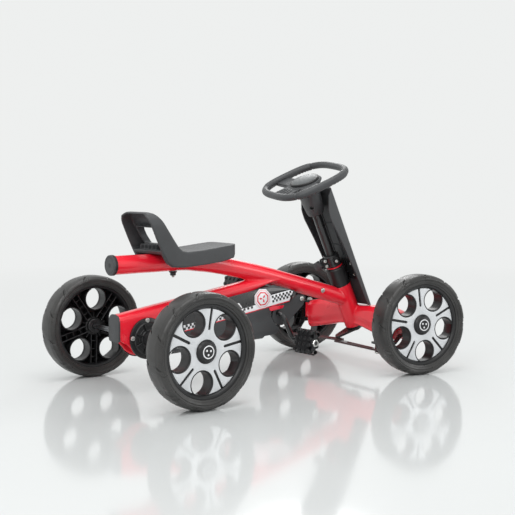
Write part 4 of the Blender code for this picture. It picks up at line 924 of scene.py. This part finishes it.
def tyre_mesh():
    """Tread blocks on each shoulder, cut by slanted grooves every 30 degrees."""
    half = tyre_profile()
    section = half + [(r, -h, g) for r, h, g in half[::-1]]
    blocks = 12
    steps = [(-1.45, 0, 0), (-0.95, 1, 0), (0.95, 1, 0), (1.45, 0, 0), (5.0, 0, 0), (5.4, 0, 1), (9.4, 0, 1),
             (13.5, 0, 1), (17.6, 0, 1), (21.6, 0, 1), (22.0, 0, 0), (25.3, 0, 0)]
    depth = 0.0024
    raised = 0.0013
    slant = 430.0
    rows = []
    for b in range(blocks):
        for degrees, cut, lift in steps:
            row = []
            for radius, height, groove in section:
                shoulder = max(abs(height) - 0.0105, 0.0)
                skew = slant * shoulder * (1 if height > 0 else -1)
                angle = radians(360 * b / blocks + degrees + skew)
                r = radius - depth * cut * groove
                shoulder_point = WHEEL_RADIUS - 0.0078 < radius < WHEEL_RADIUS - 0.0010
                h = height + (raised * lift * (1 if height > 0 else -1) if shoulder_point else 0.0)
                row.append((r * cos(angle), r * sin(angle), h))
            rows.append(row)
    return mesh_of(grid(rows, ring=True, loop=True))


def hole_tube(z_low, z_high, radius, wall):
    profile = [(radius - wall, z_high - 0.0006), (radius - wall + 0.0005, z_high), (radius - 0.0004, z_high),
               (radius, z_high - 0.0005), (radius, z_low), (radius - wall, z_low)]
    return turned(profile, 48, closed=True)


def rim_meshes():
    """Black wheel body: band, web with five tubular openings, ribbed inner side and hub."""
    half = TYRE_HALF - 0.0085
    band = [(RIM_OUTER, half), (RIM_OUTER - 0.0012, half + 0.0008), (COVER_RADIUS + 0.0040, half + 0.0006),
            (COVER_RADIUS + 0.0022, half - 0.0012), (COVER_RADIUS + 0.0006, 0.0150),
            (COVER_RADIUS + 0.0006, 0.0100),
            (COVER_RADIUS + 0.0012, 0.0), (COVER_RADIUS + 0.0024, -half + 0.003),
            (COVER_RADIUS + 0.0044, -half),
            (RIM_OUTER - 0.0012, -half - 0.0006), (RIM_OUTER, -half)]
    meshes = [turned(band, 120, closed=True)]
    web_radius = COVER_RADIUS + 0.0015
    centres = [(HOLE_CENTRE * cos(2 * pi * (k + 0.5) / SPOKES),
                HOLE_CENTRE * sin(2 * pi * (k + 0.5) / SPOKES))
               for k in range(SPOKES)]
    web = turned([(0.0075, 0.0118), (web_radius, 0.0118), (web_radius, 0.0088), (0.0075, 0.0088)], 120,
                 closed=True)
    drums = []
    for centre in centres:
        drums.append(turned([(0, 0.03), (HOLE_RADIUS - 0.0030, 0.03), (HOLE_RADIUS - 0.0030, -0.03),
                             (0, -0.03)], 48,
                            Matrix.Translation((*centre, 0))))
    meshes.append(boolean(web, drums))
    limit = turned([(0, 0.05), (web_radius, 0.05), (web_radius, -0.05), (0, -0.05)], 120)
    tubes = []
    for centre in centres:
        tube = placed(hole_tube(-0.0155, 0.0150, HOLE_RADIUS - 0.0003, 0.0022),
                      Matrix.Translation((*centre, 0)))
        tubes.append(boolean(tube, [limit.copy()], 'INTERSECT'))
    meshes += tubes
    for k in range(SPOKES):
        turn = Matrix.Rotation(2 * pi * k / SPOKES, 4, 'Z')
        for offset in (-0.0070, 0.0070):
            meshes.append(placed(block((0.0190, offset - 0.0010, -0.0125),
                                       (web_radius, offset + 0.0010, 0.0100),
                                       0.0003, 1), turn))
        meshes.append(placed(block((0.0130, -0.0009, -0.0090), (0.0300, 0.0009, 0.0100), 0.0003, 1),
                             turn @ Matrix.Rotation(pi / SPOKES, 4, 'Z')))
        for reach in (0.034, 0.052, 0.070):
            meshes.append(placed(block((reach - 0.0009, -0.0070, -0.0080), (reach + 0.0009, 0.0070, 0.0100),
                                       0.0003, 1), turn))
    hub = [(0.0072, 0.0100), (0.0200, 0.0100), (0.0200, -0.0085), (0.0188, -0.0095), (0.0165, -0.0095),
           (0.0160, -0.0140), (0.0148, -0.0152), (0.0072, -0.0152)]
    meshes.append(turned(hub, 64, closed=True))
    return joined(meshes)


def cover_mesh():
    """Silver star: five spokes with a radial slot in each, between round openings."""
    low = COVER_FACE - 0.0030
    disc = turned([(0.0236, COVER_FACE), (COVER_RADIUS - 0.0004, COVER_FACE - 0.0006),
                   (COVER_RADIUS - 0.0004, low),
                   (0.0236, low)], 160, closed=True)
    cutters = []
    for k in range(SPOKES):
        middle = 2 * pi * (k + 0.5) / SPOKES
        centre = Matrix.Translation((HOLE_CENTRE * cos(middle), HOLE_CENTRE * sin(middle), 0))
        cutters.append(turned([(0, 0.03), (HOLE_RADIUS + 0.0002, 0.03), (HOLE_RADIUS + 0.0002, -0.03),
                               (0, -0.03)],
                              72, centre))
        end = 0.0412
        half = 0.0029
        slot = arc((end + half, 0), half, 90, 270, 9) + [(0.095, -half), (0.095, half)]
        cutters.append(placed(plate([slot], -0.03, 0.03, "Z", 0.0),
                              Matrix.Rotation(2 * pi * k / SPOKES, 4, 'Z')))
    star = boolean(disc, cutters)
    piece = helper(star)
    soft = piece.modifiers.new("edge", 'BEVEL')
    soft.width = 0.0006
    soft.segments = 2
    soft.limit_method = 'ANGLE'
    soft.angle_limit = radians(50)
    return evaluated(piece)


def cap_meshes():
    low = COVER_FACE - 0.0030
    dome = [(0, low + 0.0112), (0.0060, low + 0.0111), (0.0108, low + 0.0106), (0.0112, low + 0.0100),
            (0.0126, low + 0.0098), (0.0130, low + 0.0104), (0.0165, low + 0.0092), (0.0200, low + 0.0068),
            (0.0214, low + 0.0046), (0.0218, low + 0.0040), (0.0232, low + 0.0038), (0.0234, low)]
    ring = [(0.0108, low + 0.0108), (0.0111, low + 0.0110), (0.0127, low + 0.0109), (0.0130, low + 0.0105),
            (0.0130, low + 0.0096), (0.0108, low + 0.0096)]
    mark = []
    for k in range(3):
        angle = 2 * pi * k / 3 + 0.4
        centre = Matrix.Translation((0.0052 * cos(angle), 0.0052 * sin(angle), low + 0.0110))
        mark.append(turned([(0, 0.0005), (0.0018, 0.0005), (0.0022, 0.0), (0.0022, -0.0008), (0, -0.0008)],
                           24, centre))
    return turned(dome, 72), turned(ring, 72, closed=True), joined(mark)


def build_wheels():
    rim = rim_meshes()
    tyre = tyre_mesh()
    cover = cover_mesh()
    dome, ring, mark = cap_meshes()
    for name in ("front_right", "front_left", "rear_right", "rear_left"):
        body = "rear_drive" if name == "rear_right" else "wheel_" + name
        place = wheel_matrix(name)
        spun = place @ Matrix.Rotation(SPOKE_PHASE[name], 4, 'Z')
        show("tread_" + name, placed(tyre.copy(), spun), TYRE, body, ("tyre_" + name,), 22)
        show("wheel_body_" + name, placed(rim.copy(), spun), BLACK, body, ("rim_" + name,), 35)
        show("star_" + name, placed(cover.copy(), spun), SILVER, body, ("wheel_cover_" + name,), 35)
        show("cap_" + name, placed(dome.copy(), place), BLACK, body, ("hub_cap_" + name,), 30)
        show("cap_ring_" + name, placed(ring.copy(), place), WHITE, body, (), 30)
        show("cap_mark_" + name, placed(mark.copy(), place), WHITE, body, (), 30)


# ---------------------------------------------------------------- front end
PITMAN_LENGTH = 0.050
PITMAN_HEIGHT = -0.036


def build_knuckles():
    for side, _ in SIDES:
        body = "steering_knuckle_" + side
        show("stub_" + side, bevelled("knuckle_" + side, 0.0008), DARK, body, ("knuckle_" + side,))
        pin = Matrix.Translation((KINGPIN[side].x, KINGPIN[side].y, 0))
        profile = [(0, 0.1385), (0.0052, 0.1385), (0.0075, 0.1372), (0.0075, 0.1340), (0.0082, 0.1339),
                   (0.0082, 0.1335), (0.0041, 0.1335), (0.0041, 0.0802), (0, 0.0802)]
        show("kingpin_bolt_" + side, turned(profile, 6, pin), ZINC, body, ("kingpin_" + side,), 20)
        rod = "tie_rod_" + side
        show("rod_bar_" + side, bevelled(rod, 0.0007), MAROON, rod, (rod,))
        low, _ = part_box(rod)
        joint = joint_place(rod + "_turn")
        tip = STEERING @ Vector((-PITMAN_LENGTH, 0, PITMAN_HEIGHT))
        start = Vector((joint.x, joint.y, low.z + 0.0051))
        end = Vector((tip.x, tip.y, start.z))
        bar = sweep([start.lerp(end, share) for share in (0.10, 0.14, 0.45, 0.74, 0.78)],
                    lambda share: 0.0028 if share in (0.0, 0.8) else 0.0040, 20)
        show("rod_tube_" + side, bar, MAROON, rod, (), 40)
        nut = [(0, 0.0040), (0.0048, 0.0040), (0.0056, 0.0030), (0.0056, 0.0), (0, 0.0)]
        spot = facing((joint.x, joint.y, low.z + 0.0006), (0, 0, -1))
        show("rod_nut_" + side, turned(nut, 6, spot), ZINC, rod, (), 20)


def build_column():
    bushes = [(0.0117, 0.1330), (0.0195, 0.1330), (0.0212, 0.1318), (0.0230, 0.1296), (0.0233, 0.1260),
              (0.0226, 0.0900), (0.0234, 0.0880), (0.0234, 0.0853), (0.0117, 0.0853)]
    show("sleeve", turned(bushes, 72, COLUMN, closed=True), BLACK, "chassis", ("column_sleeve",), 30)
    flange = [(0.0117, -0.0065), (0.0154, -0.0065), (0.0154, -0.0263), (0.0190, -0.0263), (0.0200, -0.0273),
              (0.0200, -0.0293), (0.0190, -0.0303), (0.0117, -0.0303)]
    show("foot_bush", turned(flange, 64, COLUMN, closed=True), BLACK, "chassis", ("lower_bush",), 30)
    column = [(0, 0.3368), (0.0100, 0.3368), (0.0110, 0.3358), (0.0110, -0.0398), (0.0100, -0.0408),
              (0, -0.0408)]
    show("column_tube", turned(column, 56, STEERING), DARK, "steering", ("steering_column",), 30)
    ring = [(0.0115, 0.1364), (0.0186, 0.1364), (0.0191, 0.1360), (0.0191, 0.1340), (0.0186, 0.1336),
            (0.0115, 0.1336)]
    show("red_ring", turned(ring, 64, STEERING, closed=True), RED, "steering", ("column_washer",), 30)
    build_clamp()
    show("pitman_lever", bevelled("pitman_arm", 0.0008), DARK, "steering", ("pitman_arm",))


def build_clamp():
    """Split collar with two ears, a bolt through them and a round knob behind."""
    body = turned([(0.0115, 0.1655), (0.0165, 0.1655), (0.0185, 0.1635), (0.0188, 0.1385), (0.0180, 0.1372),
                   (0.0115, 0.1372)], 56, closed=True)
    ears = [block((-0.0300, sign * 0.0052 - 0.0030, 0.1395), (-0.0130, sign * 0.0052 + 0.0030, 0.1640),
                  0.0018, 2)
            for sign in (-1, 1)]
    lug = block((-0.0070, -0.0215, 0.1420), (0.0070, -0.0150, 0.1610), 0.0020, 2)
    show("clamp_collar", placed(joined([body, lug] + ears), STEERING), DARK, "steering", ("column_clamp",),
         30)
    knob = [(0, 0.0078), (0.0050, 0.0074), (0.0088, 0.0056), (0.0106, 0.0024), (0.0110, -0.0030),
            (0.0098, -0.0060), (0, -0.0060)]
    spot = STEERING @ facing((-0.0365, 0.0060, 0.1500), (-0.80, -0.55, 0.15))
    lobes = [turned([(0, 0.0048), (0.0026, 0.0044), (0.0030, 0.0), (0.0026, -0.0044), (0, -0.0048)], 16,
                    spot @ Matrix.Translation((0.0096 * cos(a * pi / 4), 0.0096 * sin(a * pi / 4), 0)))
             for a in range(8)]
    show("clamp_knob", joined([turned(knob, 48, spot)] + lobes), GREY, "steering", (), 35)
    for k, (x, y, z) in enumerate(((-0.0225, -0.0084, 0.1590), (-0.0225, -0.0084, 0.1455),
                                   (0.0, -0.0218, 0.1515))):
        bolt(STEERING @ facing((x, y, z), (0, -1, 0)), 0.0042, 0.0030, f"clamp_bolt_{k + 1}", "steering")


SHIELD_HALF = 0.050
SHIELD_FRONT = 0.031
SHIELD_WALL = 0.0036
SHIELD_TOP = 0.3277
SHIELD_REAR = ((0.0, 0.0190), (0.30, 0.0150), (0.62, 0.0060), (0.84, -0.0020), (0.92, -0.0010), (1.0, 0.0130))


def build_shield():
    """Channel in front of the column with ribs on its web, chamfered at the top."""
    foot = (0.1405 - AXLE_Z) / cos(COLUMN_RAKE)
    slope = tan(COLUMN_RAKE)
    rows = []
    count = 40
    for i in range(count + 1):
        share = i / count
        front_z = foot - SHIELD_FRONT * slope + (SHIELD_TOP - foot + SHIELD_FRONT * slope) * share
        rear_z = foot + (SHIELD_TOP - 0.024 - foot) * share
        rear = between(SHIELD_REAR, share)
        wall, r = SHIELD_WALL, 0.007

        def spot(x, y):
            """Point of the section, its height between the front and the rear edge's."""
            return (x, y, front_z + (rear_z - front_z) * (SHIELD_FRONT - x) / SHIELD_FRONT)

        corner = arc((SHIELD_FRONT - r, SHIELD_HALF - r), r, 90, 0, 6)
        outer = [(rear + 0.0008, SHIELD_HALF)] + corner
        bulge = [(SHIELD_FRONT + 0.0012 * (1 - (k / 3) ** 2), (SHIELD_HALF - r) * k / 3 * 0.9) for k in (2,
                                                                                                         1,
                                                                                                         0)]
        half_outer = outer + bulge
        inner_corner = arc((SHIELD_FRONT - r, SHIELD_HALF - r), r - wall, 0, 90, 6)
        half_inner = [(SHIELD_FRONT - wall, 0.0)] + inner_corner + [(rear + 0.0008, SHIELD_HALF - wall)]
        lip = [(rear, SHIELD_HALF - wall + 0.001), (rear, SHIELD_HALF - 0.001)]
        ring = half_outer + [(x, -y) for x, y in half_outer[:-1]][::-1]
        ring += [(x, -y) for x, y in lip[::-1]] + [(x, -y) for x,
                                                   y in half_inner[::-1]] + half_inner[1:] + lip
        rows.append([spot(x, y) for x, y in ring])
    shell = mesh_of(grid(rows, caps=True))
    ribs = []
    web = SHIELD_FRONT - SHIELD_WALL
    for y in (-0.036, -0.025, 0.025, 0.036):
        ribs.append(block((web - 0.0036, y - 0.0009, 0.145), (web + 0.001, y + 0.0009, 0.262), 0.0004, 1))
    for y in (-0.0135, 0.0135):
        ribs.append(block((web - 0.0016, y - 0.0009, 0.150), (web + 0.001, y + 0.0009, 0.262), 0.0004, 1))
    for z in (0.178, 0.236):
        ribs.append(block((web - 0.0016, -SHIELD_HALF + 0.003, z),
                          (web + 0.001, SHIELD_HALF - 0.003, z + 0.0016),
                          0.0004, 1))
    show("shield_shell", placed(joined([shell] + ribs), COLUMN), GREY, "chassis", ("front_shield",), 30)
    bar = [block((0.0240, -0.0425, 0.0880), (web - 0.0008, 0.0425, 0.1420), 0.0012, 2)]
    for sign in (-1, 1):
        bar.append(block((0.0190, sign * 0.0395 - 0.0030, 0.0900), (0.0260, sign * 0.0395 + 0.0030, 0.1400),
                         0.0012, 2))
    show("shield_strap", placed(joined(bar), COLUMN), DARK, "chassis", ("shield_bracket",), 30)
    for side, sign in SIDES:
        for k, z in enumerate((0.131, 0.101)):
            bolt(COLUMN @ facing((0.0238, sign * 0.0330, z), (-1, 0, 0)), 0.0042, 0.0030,
                 f"shield_bolt_{side}_{k + 1}")


# ---------------------------------------------------------------- steering wheel
WHEEL_REACH = 0.359
RIM_SIDE = 0.0965
RIM_FRONT = 0.084
RIM_THICK = 0.0092
SQUARENESS = 3.1


def rim_point(angle):
    c, s = cos(angle), sin(angle)
    forward = RIM_FRONT * abs(c) ** (2 / SQUARENESS) * (1 if c >= 0 else -1)
    left = RIM_SIDE * abs(s) ** (2 / SQUARENESS) * (1 if s >= 0 else -1)
    return Vector((forward, left, WHEEL_REACH))


def near_angle(angle, centres, width):
    """1 at a centre, falling to 0 at width from it."""
    best = min(abs((angle - c + pi) % (2 * pi) - pi) for c in centres)
    return max(0.0, 1 - best / width)


def rim_mesh():
    """Rim with thicker grips, a joint line at each grip's end and finger scallops beneath."""
    count, sides = 320, 24
    sides_at = (pi / 2, -pi / 2)
    seams = [side + sign * radians(42) for side in sides_at for sign in (-1, 1)]
    rows = []
    for i in range(count):
        angle = 2 * pi * i / count
        here, ahead, behind = rim_point(angle), rim_point(angle + 0.012), rim_point(angle - 0.012)
        along = (ahead - behind).normalized()
        up = Vector((0, 0, 1))
        out = along.cross(up)
        grip = min(1.0, 4 * near_angle(angle, sides_at, radians(44)))
        radius = RIM_THICK * (0.90 + 0.12 * grip) - 0.0022 * near_angle(angle, seams, radians(1.8))
        row = []
        for k in range(sides):
            turn = 2 * pi * k / sides
            dent = 0.0
            if sin(turn) < -0.3 and grip > 0.9:
                dent = 0.0011 * (0.5 + 0.5 * cos(angle * 64)) * min(1.0, -sin(turn))
            r = radius - dent
            row.append(here + out * r * cos(turn) * 1.04 + up * r * sin(turn) * 0.98)
        rows.append(row)
    return mesh_of(grid(rows, ring=True, loop=True))


def spoke_mesh(start, end, start_half, end_half, low, high):
    """Flat tapered spoke between two points in the wheel's plane."""
    start, end = Vector(start), Vector(end)
    along = (end - start).normalized()
    across = Vector((-along.y, along.x))
    outline = [start + across * start_half, start - across * start_half, end - across * end_half,
               end + across * end_half]
    return plate([[(p.x, p.y) for p in outline]], low, high, "Z", 0.0016)


def build_steering_wheel():
    z = WHEEL_REACH
    hub = turned([(0, z - 0.0012), (0.0350, z - 0.0012), (0.0385, z - 0.0030), (0.0395, z - 0.0060),
                  (0.0340, z - 0.0135), (0.0300, z - 0.0160), (0, z - 0.0160)], 72)
    placed(hub, Matrix.Diagonal((1.0, 1.08, 1.0, 1.0)))
    spokes = [spoke_mesh((-0.014, sign * 0.028), (-0.016, sign * (RIM_SIDE - 0.003)), 0.019, 0.0165,
                         z - 0.0110, z - 0.0015) for sign in (-1, 1)]
    spokes.append(spoke_mesh((-0.020, 0.0), (-RIM_FRONT + 0.002, 0.0), 0.030, 0.034, z - 0.0110, z - 0.0030))
    core = moulded(joined([hub] + spokes), 0.0012, 5)
    flutes = [spoke_mesh((-0.044, y), (-RIM_FRONT + 0.012, y * 1.15), 0.0016, 0.0016, z - 0.0045, z - 0.0018)
              for y in (-0.018, -0.006, 0.006, 0.018)]
    show("wheel_core", placed(joined([core] + flutes), STEERING), GREY, "steering", ("steering_wheel",), 40)
    show("wheel_rim", placed(rim_mesh(), STEERING), GREY, "steering", (), 40)
    oval = Matrix.Diagonal((1.0, 1.14, 1.0, 1.0))
    collar = turned([(0.0270, z + 0.0040), (0.0322, z + 0.0036), (0.0338, z + 0.0020), (0.0345, z - 0.0015),
                     (0.0270, z - 0.0015)], 80, closed=True)
    show("pad_collar", placed(placed(collar, oval), STEERING), BLACK, "steering", (), 30)
    pad = turned([(0, z + 0.0076), (0.0120, z + 0.0073), (0.0210, z + 0.0063), (0.0278, z + 0.0047),
                  (0.0300, z + 0.0034), (0.0304, z + 0.0020), (0.0304, z - 0.0008), (0, z - 0.0008)], 80)
    show("horn_pad", placed(placed(pad, oval), STEERING), PAD, "steering", ("steering_pad",), 30)
    build_boss()


def build_boss():
    """Funnel under the wheel, round where it turns in the shield and wide above it, with a screw hole."""
    low, top, neck = 0.2725, WHEEL_REACH - 0.0163, SHIELD_TOP + 0.001
    levels = [(low, 0.0150, 1.0), (low + 0.0010, 0.0175, 1.02), (low + 0.0050, 0.0190, 1.10),
              (low + 0.018, 0.0200, 1.30), (neck - 0.022, 0.0205, 1.60), (neck - 0.001, 0.0208, 1.68),
              (neck + 0.003, 0.0250, 1.44), (neck + 0.007, 0.0280, 1.34), (top - 0.003, 0.0300, 1.32),
              (top, 0.0296, 1.32)]
    steps = 72
    rows = []
    for z, r, wide in levels:
        power = 2.0 + 0.5 * (wide > 1.0)
        row = []
        for k in range(steps):
            c, s = cos(2 * pi * k / steps), sin(2 * pi * k / steps)
            row.append((r * abs(c) ** (2 / power) * (1 if c > 0 else -1),
                        r * wide * abs(s) ** (2 / power) * (1 if s > 0 else -1), z))
        rows.append(row)
    body = mesh_of(grid(rows, caps=True))
    hole = facing((-0.0105, -0.0150, low + 0.026), (-0.55, -0.83, 0.0))
    drill = turned([(0, 0.02), (0.0046, 0.02), (0.0046, -0.0005), (0, -0.0005)], 40, hole)
    bore = turned([(0, 0.06), (0.0112, 0.06), (0.0112, -0.06), (0, -0.06)], 48,
                  Matrix.Translation((0, 0, low - 0.02)))
    body = boolean(body, [drill, bore])
    show("boss_funnel", placed(body, STEERING), GREY, "steering", ("steering_boss",), 35)
    screw = turned([(0, 0.0022), (0.0030, 0.0020), (0.0040, 0.0008), (0.0040, -0.0005), (0, -0.0005)], 32,
                   hole)
    show("boss_screw", placed(screw, STEERING), BLACK, "steering", (), 30)


# ---------------------------------------------------------------- seat
def seat_side():
    """Side view of the seat moulding, as (x, z)."""
    return [(-0.093, 0.3040), (-0.127, 0.3005), (-0.149, 0.2980), (-0.186, 0.2940), (-0.226, 0.2920),
            (-0.240, 0.2945), (-0.250, 0.3030), (-0.2635, 0.3220), (-0.2825, 0.3500), (-0.2930, 0.3645),
            (-0.3000, 0.3720), (-0.3090, 0.3755), (-0.3180, 0.3745), (-0.3230, 0.3670), (-0.3160, 0.3480),
            (-0.3040, 0.3200), (-0.2900, 0.2900), (-0.2780, 0.2700), (-0.2640, 0.2610), (-0.235, 0.2590),
            (-0.179, 0.2630), (-0.137, 0.2670), (-0.104, 0.2735), (-0.096, 0.2800)]


SEAT_HALF = 0.060
SEAT_WALL = 0.0042


def back_view(half, top, corner):
    """Outline of the seat from behind: straight sides and a round-cornered top."""
    outline = [(-half - 0.01, 0.23), (half + 0.01, 0.23), (half + 0.01, 0.300), (half, 0.330)]
    outline += arc((half - corner, top - corner), corner, 0, 90, 12)
    outline += arc((-half + corner, top - corner), corner, 90, 180, 12)
    return outline + [(-half, 0.330), (-half - 0.01, 0.300)]


def build_seat():
    """Hollow moulding: flat base, raised back with a hand hole, open behind and beneath."""
    body = plate([seat_side()], -SEAT_HALF, SEAT_HALF, "Y", 0.003)
    top = max(z for _, z in seat_side())
    body = boolean(body, [plate([back_view(SEAT_HALF, top, 0.030)], -0.40, 0.0, "X", 0.0)], 'INTERSECT')
    half_plan = [(-0.340, SEAT_HALF), (-0.235, SEAT_HALF), (-0.170, 0.0580), (-0.120, 0.0550),
                 (-0.104, 0.0520),
                 (-0.096, 0.0450), (-0.092, 0.0340)]
    plan = half_plan + [(x, -y) for x, y in half_plan[::-1]]
    body = boolean(body, [plate([plan], 0.2, 0.4, "Z", 0.0)], 'INTERSECT')
    inner = SEAT_HALF - SEAT_WALL
    ceiling = TUBE_Z + TUBE_RADIUS + 0.0019
    under = plate([[(-0.107, 0.235), (-0.102, 0.2955), (-0.149, 0.2912), (-0.186, ceiling),
                    (-0.245, ceiling - 0.001),
                    (-0.335, ceiling - 0.001), (-0.335, 0.235)]], -inner + 0.006, inner - 0.006, "Y", 0.002)
    notch = block((-0.130, -TUBE_RADIUS - 0.0030, 0.24), (-0.080, TUBE_RADIUS + 0.0030, ceiling + 0.0010),
                  0.0)
    pocket_side = [(-0.345, top - 0.0045), (-0.3060, top - 0.0045), (-0.2965, 0.3620), (-0.2870, 0.3470),
                   (-0.2700, 0.3210), (-0.2600, 0.3040), (-0.2600, 0.2962), (-0.345, 0.2962)]
    pocket = plate([pocket_side], -inner, inner, "Y", 0.0)
    pocket = boolean(pocket, [plate([back_view(inner, top - 0.0045, 0.026)], -0.40, -0.20, "X", 0.0)],
                     'INTERSECT')
    arch = [(-0.040, 0.3085), (0.040, 0.3085)] + arc((0.0, 0.3180), 0.040, 12, 168, 14)
    arch = [(y, min(z, 0.3425)) for y, z in arch]
    window = plate([arch], -0.36, -0.22, "X", 0.0)
    shell = boolean(body, [under, notch, pocket, window])
    wide = [(y * 1.08, 0.3255 + (z - 0.3255) * 1.16) for y, z in arch]
    depth = [(x, z) for x, z in seat_side()[4:12]]
    depth += [(x - 0.019, z) for x, z in depth[::-1]]
    ring = boolean(plate([wide, arch], -0.340, -0.230, "X", 0.0), [plate([depth], -0.05, 0.05, "Y", 0.0)],
                   'INTERSECT')
    ribs = []
    for k in range(5):
        y = -0.030 + 0.015 * k
        ribs.append(block((-0.2890, y - 0.0010, 0.2890), (-0.2560, y + 0.0010, 0.3080), 0.0003, 1))
    shell = moulded(joined([shell, ring] + ribs), 0.0013, 7, 0.5)
    for vert in shell.vertices:
        x, y, z = vert.co
        if z > 0.289 and -0.262 < x < -0.100 and z < 0.310 and abs(y) < SEAT_HALF - 0.001:
            edge = min(1.0, (SEAT_HALF - abs(y)) / 0.022)
            run = min(1.0, max(0.0, (x + 0.262) / 0.03)) * min(1.0, max(0.0, (-0.103 - x) / 0.020))
            vert.co.z -= 0.0012 * edge * edge * (3 - 2 * edge) * run * (1 if z > ceiling + 0.0020 else 0)
    placed(shell, KART)
    show("seat_moulding", shell, GREY, "seat", ("seat_shell",), 50)
    show("saddle_block", bevelled("seat_saddle", 0.001), DARK, "seat", ("seat_saddle",))
    low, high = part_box("seat_bolt")
    place = Matrix.Translation(((low.x + high.x) / 2, 0, 0))
    r = (high.x - low.x) / 2
    profile = [(0, high.z), (r, high.z), (r, low.z + 0.001)]
    turns = int((TUBE_Z - TUBE_RADIUS - 0.001 - low.z) / 0.0008)
    for k in range(turns):
        z = TUBE_Z - TUBE_RADIUS - 0.001 - 0.0008 * k
        profile[-1:-1] = [(r, z), (r - 0.0004, z - 0.0004)]
    profile.append((r - 0.001, low.z))
    profile.append((0, low.z))
    show("clamp_stud", turned(profile, 32, place), ZINC, "seat", ("seat_bolt",), 20)
    high = TUBE_Z - TUBE_RADIUS - 0.0003
    nut = [(0.0037, high), (0.0080, high), (0.0086, high - 0.0006), (0.0086, high - 0.0018),
           (0.0070, high - 0.0030),
           (0.0062, high - 0.0040), (0.0062, high - 0.0080), (0.0054, high - 0.0090), (0.0037, high - 0.0090)]
    show("clamp_nut", turned(nut, 12, place, closed=True), BLACK, "seat", ("seat_nut",), 15)


build_stage()
build_frame()
build_frame_fittings()
build_guards()
build_label()
build_chain()
build_drive()
build_wheels()
build_knuckles()
build_column()
build_shield()
build_steering_wheel()
build_seat()

bpy.context.view_layer.update()
